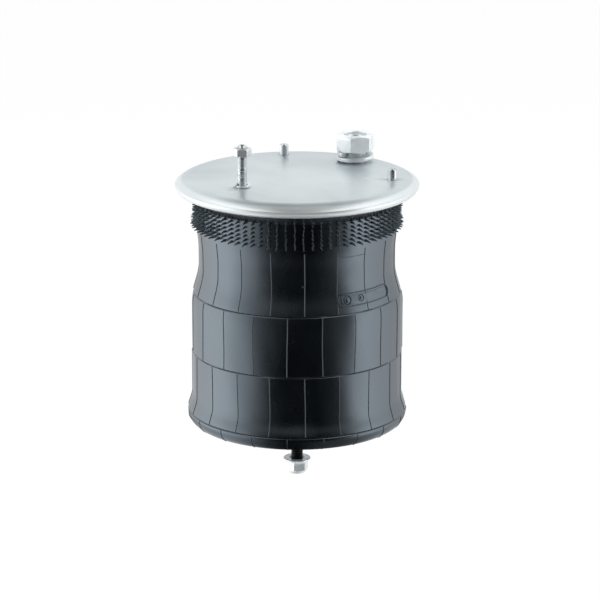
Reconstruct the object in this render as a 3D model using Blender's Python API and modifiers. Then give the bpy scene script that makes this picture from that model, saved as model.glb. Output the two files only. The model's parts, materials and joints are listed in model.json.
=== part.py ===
"""Rolling lobe air spring for a vehicle suspension, deflated, in metres with +Z up.

The origin is the centre of the top plate's upper face, and Z is the axis of travel.
+X runs from the plain mounting stud towards the hollow air stud.
"""
import math

import bmesh
import bpy
from mathutils import Matrix, Vector

# Clearances
GAP = 0.0003            # between pieces that rest on each other
THREAD_GAP = 0.0003     # between a stud and its nut, on the radius

# Top plate: a pressed disc whose rim is rolled round the upper bead
PLATE_SHEET = 0.003
RIM_REACH = 0.0215      # from the band under the vent pins out to the rim
RIM_TUBE = 0.0068       # outer radius of the rolled rim
RIM_WRAP = math.radians(112)    # how far the roll goes on below its widest point

# Beads: the thick ends of the sleeve, each moulded round a steel hoop
HOOP_WIRE = 0.002       # radius of the hoop's wire
GROOVE_HALF = 0.001     # half the width of the slit that opens on the hoop
UPPER_BEAD_START = math.radians(205)    # where the sleeve's inside leaves the bead
UPPER_BEAD_END = math.radians(-122)     # and where its outside does
UPPER_BEAD_SLIT = math.radians(90)
LOWER_BEAD_TUBE = 0.0047
LOWER_BEAD_SHARE = 19 / 28  # radius of the bead, as a share of the piston's
LOWER_BEAD_START = math.radians(-70)
LOWER_BEAD_END = math.radians(-345)
LOWER_BEAD_SLIT = math.radians(-180)

# Rubber sleeve, outside: radii as steps from the body, heights as lengths down from the plate
BODY_RADIUS = 0.1045
SLEEVE_WALL = 0.006
NECK_DRAW = 0.0075      # how much narrower the neck is than the body
BAND_STEP = 0.0015      # how much wider the band under the vent pins is than the neck
LOBE_BULGE = 0.0045     # how much wider the fold is than the body
BAND_DROP = 0.024
BAND_LENGTH = 0.026
BAND_SLOPE = 0.008
NECK_LENGTH = 0.029
FLARE_LENGTH = 0.039
FIRST_LINE_RISE = 0.011     # from the flare's end up to the first mould line
MIDDLE_TIER = 0.0605
LOWEST_TIER = 0.0625
BULGE_LENGTH = 0.0135
LEG_RISE = 0.0095       # from the fold's centre up to where the leg on the piston starts

# Piston: a ribbed moulding that the sleeve rolls down
FOLD_TUBE = 0.012       # outer radius of the fold between sleeve and piston
PISTON_LENGTH = 0.128
PISTON_STAND = 0.0085   # from the fold's centre down to the base
SHOULDER_SHARE = 20 / 27    # radius of its shoulder, as a share of the step in to the bead
PISTON_WALL = 0.005
PISTON_DECK = 0.009
HUB_RADIUS = 0.024
HUB_RECESS = 0.0105     # from the base up to the hub's end
MID_RING_SHARE = 13 / 21    # radius of the middle ring, as a share of the piston's
MID_RING_WALL = 0.004
OUTER_RIBS = 16
INNER_RIBS = 8
RIB_ANGLE = math.radians(3.6)
BASE_EDGE = 0.002
OUTER_POCKET_DROP = 0.010   # the outer pockets end lower, under the shoulder

# Closure plate that clamps the lower bead, and the ring that seals it
CLOSURE_SHEET = 0.003
CLOSURE_WRAP = math.radians(40)
SEAL_RADIUS = 0.034
SEAL_SECTION = 0.002

# Bump stop
BUMP_TRAVEL = 0.0185    # free height between the stop and the plate
BUMP_FOOT_SHARE = 3 / 7     # radius of its foot, as a share of the piston's
BUMP_TOP_INSET = 0.011      # each inset is from the foot's radius
BUMP_TOP_ROUND = 0.008
BUMP_CROWN_INSET = 0.005
BUMP_CROWN_DROP = 0.026     # from the top down to the widest part of the crown
BUMP_CROWN_ROUND = 0.012
BUMP_WAIST_INSET = 0.007
BUMP_WAIST_HEIGHT = 0.0465  # from the foot up
BUMP_WAIST_ROUND = 0.010
BUMP_FOOT_HEIGHT = 0.0205
BUMP_FOOT_ROUND = 0.008
BUMP_SOCKET_GAP = 0.0008

# Central stud, its sleeve and nuts
BASE_STUD_RADIUS = 0.006
STUD_HEAD_RADIUS = 0.013
STUD_HEAD_HEIGHT = 0.006
STUD_HEAD_ROUND = 0.002
BASE_STUD_CHAMFER = 0.001
BASE_STUD_RECESS = 0.0022   # how far the stud's end stays inside the nut
BUSH_WALL = 0.004
CLAMP_WASHER_RADIUS = 0.0185
CLAMP_WASHER_SHEET = 0.0025
CLAMP_NUT_FLATS = 0.019
CLAMP_NUT_HEIGHT = 0.006
BASE_NUT_DROP = 0.0445  # from the piston's base down to the nut
BASE_NUT_FLATS = 0.020
BASE_NUT_TURN = math.radians(30)
BASE_NUT_HEIGHT = 0.0158
BASE_NUT_HEX = 0.0104   # height of its straight hexagon
BASE_NUT_BARREL = 0.0114    # radius that its corners are turned to
BASE_NUT_CROWN = 0.0097     # radius of the domed collar that holds the insert
CROWN_SLOPE = 0.0012    # height of the step from the hexagon to the collar
CROWN_TAPER = 0.0012
CROWN_ROUND = 0.0026
FLANGE_RADIUS = 0.0136
FLANGE_EDGE = 0.0012
FLANGE_SLOPE = 0.0022   # height of the slope under the flange
FLANGE_ROUND = 0.0005
FLAT_DROP = 0.0012      # from the flange's edge down to the top of the flats
INSERT_HEIGHT = 0.003
INSERT_WALL = 0.0012
INSERT_LIP = 0.0015     # of the collar, below the insert

# Corners of the plain hexagon nuts
NUT_CHAMFER = math.radians(30)
NUT_FACE_INSET = 0.0003     # from the flats in to the round end face

# Hollow air stud
AIR_STUD_INSET = 0.0315     # from the plate's edge in to the stud
STUD_LINE_Y = 0.006
AIR_STUD_RADIUS = 0.011
AIR_STUD_TOP = 0.0250
AIR_BORE_RADIUS = 0.0065
AIR_FEED_RADIUS = 0.004
AIR_BORE_FLOOR = 0.003
AIR_STUD_CHAMFER = 0.0015
WELD_FLANGE_RADIUS = 0.0135
WELD_FLANGE_SHEET = 0.004
AIR_NUT_FLATS = 0.034
AIR_NUT_HEIGHT = 0.017
AIR_NUT_BASE = 0.0105
AIR_NUT_TURN = math.radians(31)

# Plain mounting stud
PLAIN_STUD_INSET = 0.051    # from the plate's edge in to the stud
PLAIN_STUD_RADIUS = 0.005
PLAIN_STUD_TOP = 0.0425
PLAIN_STUD_DOME = 0.0022
PLAIN_STUD_FLAT = 0.0034    # radius of the flat on its domed end
PLAIN_DOME_ROUND = 0.001
PLAIN_FLANGE_RADIUS = 0.010
PLAIN_FLANGE_SHEET = 0.003
PLAIN_NUT_FLATS = 0.016
PLAIN_NUT_HEIGHT = 0.008
PLAIN_NUT_BASE = 0.031
PLAIN_NUT_TURN = math.radians(15)

# Spring washers: flat wire wound in a short helix
AIR_WASHER_OUTER = 0.0183
AIR_WASHER_WIDTH = 0.0065
AIR_WASHER_THICK = 0.0038
AIR_WASHER_TURNS = 1.2
AIR_WASHER_START = math.radians(175)
PLAIN_WASHER_OUTER = 0.0079
PLAIN_WASHER_WIDTH = 0.0026
PLAIN_WASHER_THICK = 0.0022
PLAIN_WASHER_RISE = 0.0014
PLAIN_WASHER_TURNS = 0.97
PLAIN_WASHER_START = math.radians(170)

# Locating pins
PIN_RADIUS = 0.0045
PIN_TOP = 0.0107
PIN_CHAMFER = 0.0009
PIN_HEAD_RADIUS = 0.0075
PIN_HEAD_SHEET = 0.0025
PIN_INSET = 0.026       # from the plate's edge in to the pins
PIN_ANGLE = math.radians(53)

# Facets
LARGE_STEPS = 36
MEDIUM_STEPS = 24
NUT_STEPS = 24          # a multiple of six, so that a nut's flats all cut alike
SMALL_STEPS = 20
ARC_STEP = math.radians(30)
BEAD_STEP = math.radians(52)    # hidden in the beads
HOOP_STEP = math.radians(60)
CORNER_STEP = math.radians(40)
SHARP_ANGLE = math.radians(35)
MERGE = 0.00001

# Radii and heights that follow from the ones above
NECK_RADIUS = BODY_RADIUS - NECK_DRAW
BAND_RADIUS = NECK_RADIUS + BAND_STEP
LOBE_RADIUS = BODY_RADIUS + LOBE_BULGE
PLATE_RADIUS = BAND_RADIUS + RIM_REACH
PISTON_RADIUS = LOBE_RADIUS - 2 * FOLD_TUBE - GAP
MID_RING_RADIUS = PISTON_RADIUS * MID_RING_SHARE
LOWER_BEAD_RADIUS = PISTON_RADIUS * LOWER_BEAD_SHARE
PISTON_SHOULDER = (PISTON_RADIUS - LOWER_BEAD_RADIUS) * SHOULDER_SHARE
BAND_TOP = -BAND_DROP
BAND_END = BAND_TOP - BAND_LENGTH
NECK_TOP = BAND_END - BAND_SLOPE
FLARE_TOP = NECK_TOP - NECK_LENGTH
FLARE_END = FLARE_TOP - FLARE_LENGTH
FIRST_LINE = FLARE_END + FIRST_LINE_RISE    # mould lines, where the tiers of the sleeve meet
SECOND_LINE = FIRST_LINE - MIDDLE_TIER
LOBE_HEIGHT = SECOND_LINE - LOWEST_TIER     # centre of the fold
BULGE_TOP = LOBE_HEIGHT + BULGE_LENGTH
INNER_CUT = LOBE_HEIGHT + LEG_RISE      # where the fold hands over to the leg on the piston
PISTON_BASE = LOBE_HEIGHT - PISTON_STAND
PISTON_TOP = PISTON_BASE + PISTON_LENGTH
AIR_STUD_X = PLATE_RADIUS - AIR_STUD_INSET
PLAIN_STUD_X = PLAIN_STUD_INSET - PLATE_RADIUS
PIN_X = (PLATE_RADIUS - PIN_INSET) * math.cos(PIN_ANGLE)
PIN_Y = (PLATE_RADIUS - PIN_INSET) * math.sin(PIN_ANGLE)

# Fits and seats that follow from the ones above
BEAD_TUBE = RIM_TUBE - PLATE_SHEET - GAP
BEAD_RADIUS = PLATE_RADIUS - RIM_TUBE
BEAD_HEIGHT = -RIM_TUBE
LEG_INSIDE = PISTON_RADIUS + GAP
LEG_OUTSIDE = LEG_INSIDE + SLEEVE_WALL
FOLD_RADIUS = LEG_INSIDE + FOLD_TUBE
LOWER_BEAD_HEIGHT = PISTON_TOP + GAP + LOWER_BEAD_TUBE
CLOSURE_TOP = PISTON_TOP + GAP + CLOSURE_SHEET
SEAL_GROOVE = 2 * SEAL_SECTION + GAP
CLOSURE_HOOK = LOWER_BEAD_TUBE + GAP
BUMP_TOP = -PLATE_SHEET - BUMP_TRAVEL
BUMP_FOOT_RADIUS = PISTON_RADIUS * BUMP_FOOT_SHARE
BUSH_INSIDE = BASE_STUD_RADIUS + GAP
BUSH_OUTSIDE = BUSH_INSIDE + BUSH_WALL
HUB_END = PISTON_BASE + HUB_RECESS
CLAMP_WASHER_TOP = HUB_END - GAP
CLAMP_NUT_TOP = CLAMP_WASHER_TOP - CLAMP_WASHER_SHEET - GAP
BASE_NUT_TOP = PISTON_BASE - BASE_NUT_DROP
BASE_NUT_END = BASE_NUT_TOP - BASE_NUT_HEIGHT
INSERT_END = BASE_NUT_END + INSERT_LIP
INSERT_TOP = INSERT_END + INSERT_HEIGHT
BASE_STUD_END = BASE_NUT_END + BASE_STUD_RECESS
HOOP_CLEAR = HOOP_WIRE + 2 * GAP


def clear_scene():
    """Remove every object, so that the script can be run again in an open file."""
    for thing in list(bpy.data.objects):
        bpy.data.objects.remove(thing, do_unlink=True)


def new_collection(name):
    collection = bpy.data.collections.new(name)
    bpy.context.scene.collection.children.link(collection)
    return collection


def material(name, colour, roughness, metallic):
    """A Principled material with one colour."""
    made = bpy.data.materials.new(name)
    made.use_nodes = True
    shader = made.node_tree.nodes["Principled BSDF"]
    shader.inputs["Base Color"].default_value = (*colour, 1.0)
    shader.inputs["Roughness"].default_value = roughness
    shader.inputs["Metallic"].default_value = metallic
    return made


def arc(centre, radius, start, end, step=ARC_STEP):
    """Points of an arc in the profile plane, from one angle to the other."""
    count = max(2, math.ceil(abs(end - start) / step))
    angles = [start + (end - start) * i / count for i in range(count + 1)]
    return [(centre[0] + radius * math.cos(a), centre[1] + radius * math.sin(a)) for a in angles]


def rounded(corners, step=CORNER_STEP):
    """An outline through corners (x, y, radius), each rounded by its own radius."""
    points = []
    for index, (x, y, radius) in enumerate(corners):
        if radius <= 0:
            points.append((x, y))
            continue
        here = Vector((x, y))
        before = Vector(corners[index - 1][:2]) - here
        after = Vector(corners[(index + 1) % len(corners)][:2]) - here
        half = before.angle(after) / 2
        reach = min(radius / math.tan(half), 0.45 * before.length, 0.45 * after.length)
        centre = here + (before.normalized() + after.normalized()).normalized() * reach / math.cos(half)
        first = here + before.normalized() * reach - centre
        last = here + after.normalized() * reach - centre
        turn = first.angle_signed(last)
        start = math.atan2(first.y, first.x)
        points += arc(centre, reach * math.tan(half), start, start - turn, step)
    return points


def profile_object(name, points, closed, steps, collection):
    """A turned solid: a profile at +X, swept once round Z by a Screw modifier."""
    mesh = bpy.data.meshes.new(name)
    edges = [(i, i + 1) for i in range(len(points) - 1)]
    if closed:
        edges.append((len(points) - 1, 0))
    mesh.from_pydata([(r, 0, z) for r, z in points], edges, [])
    turned = bpy.data.objects.new(name, mesh)
    collection.objects.link(turned)
    screw = turned.modifiers.new("Turn", "SCREW")
    screw.steps = steps
    screw.render_steps = steps
    screw.use_merge_vertices = True
    screw.merge_threshold = MERGE
    return turned


class Model:
    """The collections, the materials and the empties that carry the moving pieces."""

    def __init__(self):
        self.parts = new_collection("air_spring")
        self.cutters = new_collection("cutters")
        self.zinc = material("zinc_plate", (0.72, 0.76, 0.76), 0.32, 1.0)
        self.bright = material("bright_zinc", (0.80, 0.82, 0.82), 0.22, 1.0)
        self.steel = material("plain_steel", (0.42, 0.42, 0.43), 0.38, 1.0)
        self.black_steel = material("black_steel", (0.015, 0.015, 0.016), 0.30, 0.8)
        self.rubber = material("sleeve_rubber", (0.022, 0.026, 0.029), 0.42, 0.0)
        self.seal = material("seal_rubber", (0.020, 0.020, 0.020), 0.50, 0.0)
        self.bump = material("bump_rubber", (0.018, 0.018, 0.018), 0.60, 0.0)
        self.moulding = material("piston_moulding", (0.025, 0.025, 0.027), 0.50, 0.0)
        self.nylon = material("nylon", (0.70, 0.72, 0.70), 0.45, 0.0)
        self.carriers = {}
        for name in ("lobe_carrier", "piston_carrier"):
            carrier = bpy.data.objects.new(name, None)
            self.parts.objects.link(carrier)
            self.carriers[name] = carrier
        self.carriers["piston_carrier"].parent = self.carriers["lobe_carrier"]

    def ring(self, name, points, finish, steps=LARGE_STEPS, carrier=None):
        """A turned piece with a hole: its outline is closed and clear of the axis."""
        return self.own(profile_object(name, points, True, steps, self.parts), finish, carrier)

    def solid(self, name, points, finish, steps=SMALL_STEPS, carrier=None):
        """A turned piece whose profile starts and ends on the axis."""
        return self.own(profile_object(name, points, False, steps, self.parts), finish, carrier)

    def own(self, piece, finish, carrier=None):
        piece.data.materials.append(finish)
        if carrier:
            piece.parent = self.carriers[carrier]
        return piece

    def cut(self, piece, tool, operation="DIFFERENCE"):
        """Cut a piece with a tool, or keep what the two share."""
        tool.hide_render = True
        tool.display_type = "WIRE"
        boolean = piece.modifiers.new(tool.name, "BOOLEAN")
        boolean.operation = operation
        boolean.object = tool

    def drill(self, piece, name, radius, top, bottom, place=(0, 0), steps=SMALL_STEPS):
        """A straight round hole between two heights."""
        tool = profile_object(name, [(0, top), (radius, top), (radius, bottom), (0, bottom)],
                              False, steps, self.cutters)
        tool.location = (*place, 0)
        self.cut(piece, tool)


def swept(name, corners, angle, steps, rise, start, collection):
    """A flat outline at +X, swept part of a turn round Z, with both of its ends closed."""
    shape = bmesh.new()
    face = shape.faces.new([shape.verts.new((r, 0, z)) for r, z in corners])
    bmesh.ops.spin(shape, geom=[face], cent=(0, 0, 0), axis=(0, 0, 1), dvec=(0, 0, rise / steps),
                   angle=angle, steps=steps, use_duplicate=False)
    bmesh.ops.recalc_face_normals(shape, faces=shape.faces)
    bmesh.ops.rotate(shape, verts=shape.verts, cent=(0, 0, 0), matrix=Matrix.Rotation(start, 3, "Z"))
    mesh = bpy.data.meshes.new(name)
    shape.to_mesh(mesh)
    shape.free()
    piece = bpy.data.objects.new(name, mesh)
    collection.objects.link(piece)
    return piece


def ease(share):
    """Smooth step from 0 to 1."""
    share = min(max(share, 0.0), 1.0)
    return share * share * (3 - 2 * share)


def sleeve_radius(height):
    """Outer radius of the sleeve between the rim and the fold."""
    radius = BAND_RADIUS
    radius += (NECK_RADIUS - BAND_RADIUS) * ease((height - BAND_END) / (NECK_TOP - BAND_END))
    radius += (BODY_RADIUS - NECK_RADIUS) * ease((height - FLARE_TOP) / (FLARE_END - FLARE_TOP))
    radius += (LOBE_RADIUS - BODY_RADIUS) * ease((height - BULGE_TOP) / (LOBE_HEIGHT - BULGE_TOP))
    return radius


def sleeve_side(top, bottom, inset=0.0):
    """Points down the sleeve's outside, or down its inside with fewer of them, closer where it curves."""
    coarse = 1 if inset else 2
    heights = {top, bottom}
    curved = ((BAND_END, NECK_TOP, 1), (FLARE_TOP, FLARE_END, 3), (BULGE_TOP, LOBE_HEIGHT, 2))
    for start, end, pieces in curved:
        count = pieces * coarse
        heights |= {start + (end - start) * i / count for i in range(count + 1)}
    inside = sorted((h for h in heights if bottom <= h <= top), reverse=True)
    return [(sleeve_radius(h) - inset, h) for h in inside]


def bead_outline(centre, tube, start, end, slit):
    """Points round a bead, clockwise, with the slit that opens on its steel hoop."""
    lean = math.asin(GROOVE_HALF / tube)
    grip = math.asin(GROOVE_HALF / HOOP_CLEAR)
    points = arc(centre, tube, start, slit + lean, BEAD_STEP)
    points += arc(centre, HOOP_CLEAR, slit + grip, slit + 2 * math.pi - grip, BEAD_STEP)
    return points + arc(centre, tube, slit - lean, end, BEAD_STEP)


def make_top_plate(model):
    centre = (BEAD_RADIUS, BEAD_HEIGHT)
    outside = arc(centre, RIM_TUBE, math.pi / 2, -RIM_WRAP)
    inside = arc(centre, RIM_TUBE - PLATE_SHEET, -RIM_WRAP, math.pi / 2)
    outline = [(0, 0)] + outside + inside + [(0, -PLATE_SHEET)]
    plate = model.solid("top_plate", outline, model.zinc, LARGE_STEPS)
    holes = (("air_stud_hole", AIR_STUD_RADIUS, AIR_STUD_X, STUD_LINE_Y),
             ("plain_stud_hole", PLAIN_STUD_RADIUS, PLAIN_STUD_X, STUD_LINE_Y),
             ("rear_pin_hole", PIN_RADIUS, PIN_X, PIN_Y),
             ("side_pin_hole", PIN_RADIUS, PIN_X, -PIN_Y))
    for name, radius, x, y in holes:
        model.drill(plate, name, radius + GAP, PLATE_SHEET, -2 * PLATE_SHEET, (x, y))


def make_upper_hoop(model):
    hoop = arc((BEAD_RADIUS, BEAD_HEIGHT), HOOP_WIRE, 0, -2 * math.pi, HOOP_STEP)[:-1]
    model.ring("upper_bead_hoop", hoop, model.steel)


def make_sleeve_neck(model):
    """The bead under the rim, the band, the neck and the flare down to the first mould line."""
    end = FIRST_LINE + GAP / 2
    centre = (BEAD_RADIUS, BEAD_HEIGHT)
    outline = bead_outline(centre, BEAD_TUBE, UPPER_BEAD_START, UPPER_BEAD_END, UPPER_BEAD_SLIT)
    outline += sleeve_side(BAND_TOP, end) + list(reversed(sleeve_side(BAND_TOP, end, SLEEVE_WALL)))
    model.ring("sleeve_neck", outline, model.rubber)


def make_sleeve_middle(model):
    top = FIRST_LINE - GAP / 2
    end = SECOND_LINE + GAP / 2
    outline = sleeve_side(top, end) + list(reversed(sleeve_side(top, end, SLEEVE_WALL)))
    model.ring("sleeve_middle", outline, model.rubber)


def make_sleeve_lobe(model):
    """The lowest tier and the fold, where the sleeve turns up against the piston."""
    top = SECOND_LINE - GAP / 2
    centre = (FOLD_RADIUS, LOBE_HEIGHT)
    outline = sleeve_side(top, LOBE_HEIGHT)[:-1] + arc(centre, FOLD_TUBE, 0, -math.pi)
    outline += [(LEG_INSIDE, INNER_CUT), (LEG_OUTSIDE, INNER_CUT)]
    outline += arc(centre, FOLD_TUBE - SLEEVE_WALL, -math.pi, 0, CORNER_STEP)
    outline += list(reversed(sleeve_side(top, LOBE_HEIGHT, SLEEVE_WALL)[:-1]))
    model.ring("sleeve_lobe", outline, model.rubber, carrier="lobe_carrier")


def make_sleeve_inner(model):
    """The leg of the sleeve that lies on the piston and ends in the lower bead."""
    shoulder = (PISTON_RADIUS - PISTON_SHOULDER, PISTON_TOP - PISTON_SHOULDER)
    outer = PISTON_SHOULDER + GAP + SLEEVE_WALL
    bead = bead_outline((LOWER_BEAD_RADIUS, LOWER_BEAD_HEIGHT), LOWER_BEAD_TUBE,
                        LOWER_BEAD_START, LOWER_BEAD_END, LOWER_BEAD_SLIT)
    outline = bead + arc(shoulder, outer, math.pi / 2, 0) + [(LEG_OUTSIDE, INNER_CUT + GAP)]
    outline += [(LEG_INSIDE, INNER_CUT + GAP)] + arc(shoulder, PISTON_SHOULDER + GAP, 0, math.pi / 2)
    model.ring("sleeve_inner", outline, model.rubber, carrier="piston_carrier")


def make_lower_hoop(model):
    centre = (LOWER_BEAD_RADIUS, LOWER_BEAD_HEIGHT)
    hoop = arc(centre, HOOP_WIRE, 0, -2 * math.pi, HOOP_STEP)[:-1]
    model.ring("lower_bead_hoop", hoop, model.steel, carrier="piston_carrier")


def make_closure_plate(model):
    """A disc on the piston, with a rim that hooks over the lower bead."""
    centre = (LOWER_BEAD_RADIUS, LOWER_BEAD_HEIGHT)
    hook = CLOSURE_HOOK
    under = arc(centre, hook, CLOSURE_WRAP, math.pi, CORNER_STEP)
    over = arc(centre, hook + CLOSURE_SHEET, math.pi, CLOSURE_WRAP, CORNER_STEP)
    under_disc = PISTON_TOP + GAP
    outline = over + under
    outline += [(LOWER_BEAD_RADIUS - hook, under_disc), (BUSH_INSIDE, under_disc), (BUSH_INSIDE, CLOSURE_TOP)]
    outline += [(LOWER_BEAD_RADIUS - hook - CLOSURE_SHEET, CLOSURE_TOP)]
    model.ring("closure_plate", outline, model.zinc, carrier="piston_carrier")


def make_piston(model):
    """The piston blank, its seal groove and hub, and the pockets that leave the ribs."""
    shoulder = (PISTON_RADIUS - PISTON_SHOULDER, PISTON_TOP - PISTON_SHOULDER)
    groove_in = SEAL_RADIUS - SEAL_SECTION - GAP
    groove_out = SEAL_RADIUS + SEAL_SECTION + GAP
    floor = PISTON_TOP - SEAL_GROOVE
    bore = BUSH_OUTSIDE + GAP
    outline = [(bore, PISTON_TOP), (groove_in, PISTON_TOP), (groove_in, floor), (groove_out, floor)]
    outline += [(groove_out, PISTON_TOP)] + arc(shoulder, PISTON_SHOULDER, math.pi / 2, 0)
    outline += [(PISTON_RADIUS, PISTON_BASE + BASE_EDGE), (PISTON_RADIUS - BASE_EDGE, PISTON_BASE)]
    outline += [(HUB_RADIUS, PISTON_BASE), (HUB_RADIUS, HUB_END), (bore, HUB_END)]
    piston = model.ring("piston", outline, model.moulding, carrier="piston_carrier")
    ceiling = PISTON_TOP - PISTON_DECK
    outer = (MID_RING_RADIUS + MID_RING_WALL / 2, PISTON_RADIUS - PISTON_WALL)
    inner = (HUB_RADIUS, MID_RING_RADIUS - MID_RING_WALL / 2)
    pocket_rows = (("outer_pocket", outer, OUTER_RIBS, ceiling - OUTER_POCKET_DROP),
                   ("inner_pocket", inner, INNER_RIBS, ceiling))
    for name, (near, far), count, top in pocket_rows:
        cut_pockets(model, piston, name, near, far, count, top)


def cut_pockets(model, piston, name, near, far, count, top):
    """A ring of pockets from the base up, with a rib between each two."""
    pitch = 2 * math.pi / count
    below = PISTON_BASE - BASE_EDGE
    section = [(near, top), (far, top), (far, below), (near, below)]
    steps = max(2, round(LARGE_STEPS / count))
    for index in range(count):
        start = index * pitch + RIB_ANGLE / 2
        tool = swept(f"{name}_{index + 1}", section, pitch - RIB_ANGLE, steps, 0, start, model.cutters)
        model.cut(piston, tool)


def make_seal(model):
    centre = (SEAL_RADIUS, PISTON_TOP - SEAL_SECTION)
    ring = arc(centre, SEAL_SECTION, 0, -2 * math.pi, BEAD_STEP)[:-1]
    model.ring("piston_seal", ring, model.seal, MEDIUM_STEPS, "piston_carrier")


def make_bump_stop(model):
    """A waisted rubber stop with a socket that presses over the stud's head."""
    foot = CLOSURE_TOP + GAP
    socket_radius = STUD_HEAD_RADIUS + BUMP_SOCKET_GAP
    socket_top = CLOSURE_TOP + GAP + STUD_HEAD_HEIGHT + BUMP_SOCKET_GAP
    outline = rounded([
        (0, BUMP_TOP, 0),
        (BUMP_FOOT_RADIUS - BUMP_TOP_INSET, BUMP_TOP, BUMP_TOP_ROUND),
        (BUMP_FOOT_RADIUS - BUMP_CROWN_INSET, BUMP_TOP - BUMP_CROWN_DROP, BUMP_CROWN_ROUND),
        (BUMP_FOOT_RADIUS - BUMP_WAIST_INSET, foot + BUMP_WAIST_HEIGHT, BUMP_WAIST_ROUND),
        (BUMP_FOOT_RADIUS, foot + BUMP_FOOT_HEIGHT, BUMP_FOOT_ROUND),
        (BUMP_FOOT_RADIUS, foot, 0),
        (socket_radius, foot, 0),
        (socket_radius, socket_top, 0),
        (0, socket_top, 0)])
    model.solid("bump_stop", outline, model.bump, MEDIUM_STEPS, "piston_carrier")


def make_central_stud(model):
    """The long stud under the piston, with its round head on the closure plate."""
    seat = CLOSURE_TOP + GAP
    outline = rounded([
        (0, seat + STUD_HEAD_HEIGHT, 0),
        (STUD_HEAD_RADIUS, seat + STUD_HEAD_HEIGHT, STUD_HEAD_ROUND),
        (STUD_HEAD_RADIUS, seat, 0),
        (BASE_STUD_RADIUS, seat, 0),
        (BASE_STUD_RADIUS, BASE_STUD_END + BASE_STUD_CHAMFER, 0),
        (BASE_STUD_RADIUS - BASE_STUD_CHAMFER, BASE_STUD_END, 0),
        (0, BASE_STUD_END, 0)])
    model.solid("central_stud", outline, model.black_steel, SMALL_STEPS, "piston_carrier")


def make_hub_bush(model):
    top = PISTON_TOP
    outline = [(BUSH_OUTSIDE, top), (BUSH_OUTSIDE, HUB_END), (BUSH_INSIDE, HUB_END), (BUSH_INSIDE, top)]
    model.ring("hub_bush", outline, model.steel, SMALL_STEPS, "piston_carrier")


def make_clamp_washer(model):
    bottom = CLAMP_WASHER_TOP - CLAMP_WASHER_SHEET
    outline = [(CLAMP_WASHER_RADIUS, CLAMP_WASHER_TOP), (CLAMP_WASHER_RADIUS, bottom),
               (BUSH_INSIDE, bottom), (BUSH_INSIDE, CLAMP_WASHER_TOP)]
    model.ring("clamp_washer", outline, model.zinc, SMALL_STEPS, "piston_carrier")


def nut_blank(model, name, flats, height, place, turn, finish, carrier=None):
    """A hexagon whose corners are turned off at both ends, with its base at the place.

    One corner points in the direction of the turn: the hexagon is made with a flat towards +X.
    """
    corner = flats / math.sqrt(3)
    shape = bmesh.new()
    spin = Matrix.Rotation(turn + math.radians(30), 4, "Z")
    bmesh.ops.create_cone(shape, cap_ends=True, segments=6, radius1=corner, radius2=corner, depth=height,
                          matrix=spin @ Matrix.Translation((0, 0, height / 2)))
    mesh = bpy.data.meshes.new(name)
    shape.to_mesh(mesh)
    shape.free()
    nut = bpy.data.objects.new(name, mesh)
    model.parts.objects.link(nut)
    model.own(nut, finish, carrier)
    nut.location = place
    face = flats / 2 - NUT_FACE_INSET
    beyond = corner + GAP
    drop = (beyond - face) * math.tan(NUT_CHAMFER)
    outline = [(0, height), (face, height), (beyond, height - drop), (beyond, drop), (face, 0), (0, 0)]
    barrel = profile_object(f"{name}_barrel", outline, False, SMALL_STEPS, model.cutters)
    barrel.location = place
    model.cut(nut, barrel, "INTERSECT")
    return nut


def make_clamp_nut(model):
    place = (0, 0, CLAMP_NUT_TOP - CLAMP_NUT_HEIGHT)
    nut = nut_blank(model, "clamp_nut", CLAMP_NUT_FLATS, CLAMP_NUT_HEIGHT, place, 0, model.zinc,
                    "piston_carrier")
    model.drill(nut, "clamp_nut_bore", BASE_STUD_RADIUS + THREAD_GAP, CLAMP_NUT_TOP + GAP, place[2] - GAP)


def cut_flat(model, piece, name, angle, distance, width, top, bottom):
    """Cut one flat at a distance from the axis, between two heights."""
    shape = bmesh.new()
    bmesh.ops.create_cube(shape, size=1.0, matrix=Matrix.Diagonal((width, 2 * width, top - bottom, 1)))
    mesh = bpy.data.meshes.new(name)
    shape.to_mesh(mesh)
    shape.free()
    tool = bpy.data.objects.new(name, mesh)
    model.cutters.objects.link(tool)
    tool.rotation_euler = (0, 0, angle)
    reach = distance + width / 2
    tool.location = (reach * math.cos(angle), reach * math.sin(angle), (top + bottom) / 2)
    model.cut(piece, tool)


def make_base_nut(model):
    """A hexagon nut with a flange at its top and a domed collar round a nylon insert at its end."""
    flange_end = BASE_NUT_TOP - FLANGE_EDGE
    hex_end = flange_end - BASE_NUT_HEX
    outline = rounded([
        (0, BASE_NUT_TOP, 0),
        (FLANGE_RADIUS, BASE_NUT_TOP, FLANGE_ROUND),
        (FLANGE_RADIUS, flange_end, FLANGE_ROUND),
        (BASE_NUT_BARREL, flange_end - FLANGE_SLOPE, 0),
        (BASE_NUT_BARREL, hex_end, 0),
        (BASE_NUT_CROWN, hex_end - CROWN_SLOPE, 0),
        (BASE_NUT_CROWN - CROWN_TAPER, BASE_NUT_END, CROWN_ROUND),
        (0, BASE_NUT_END, 0)])
    nut = model.solid("base_nut", outline, model.bright, NUT_STEPS, "piston_carrier")
    flat_top = flange_end - FLAT_DROP
    for index in range(6):
        angle = BASE_NUT_TURN + math.radians(30 + 60 * index)
        cut_flat(model, nut, f"base_nut_flat_{index + 1}", angle, BASE_NUT_FLATS / 2, BASE_NUT_BARREL,
                 flat_top, BASE_NUT_END - GAP)
    model.drill(nut, "base_nut_bore", BASE_STUD_RADIUS + THREAD_GAP, BASE_NUT_TOP + GAP, BASE_NUT_END - GAP)
    model.drill(nut, "base_nut_socket", BASE_STUD_RADIUS + THREAD_GAP + INSERT_WALL + GAP,
                INSERT_TOP + GAP, INSERT_END - GAP)


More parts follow.
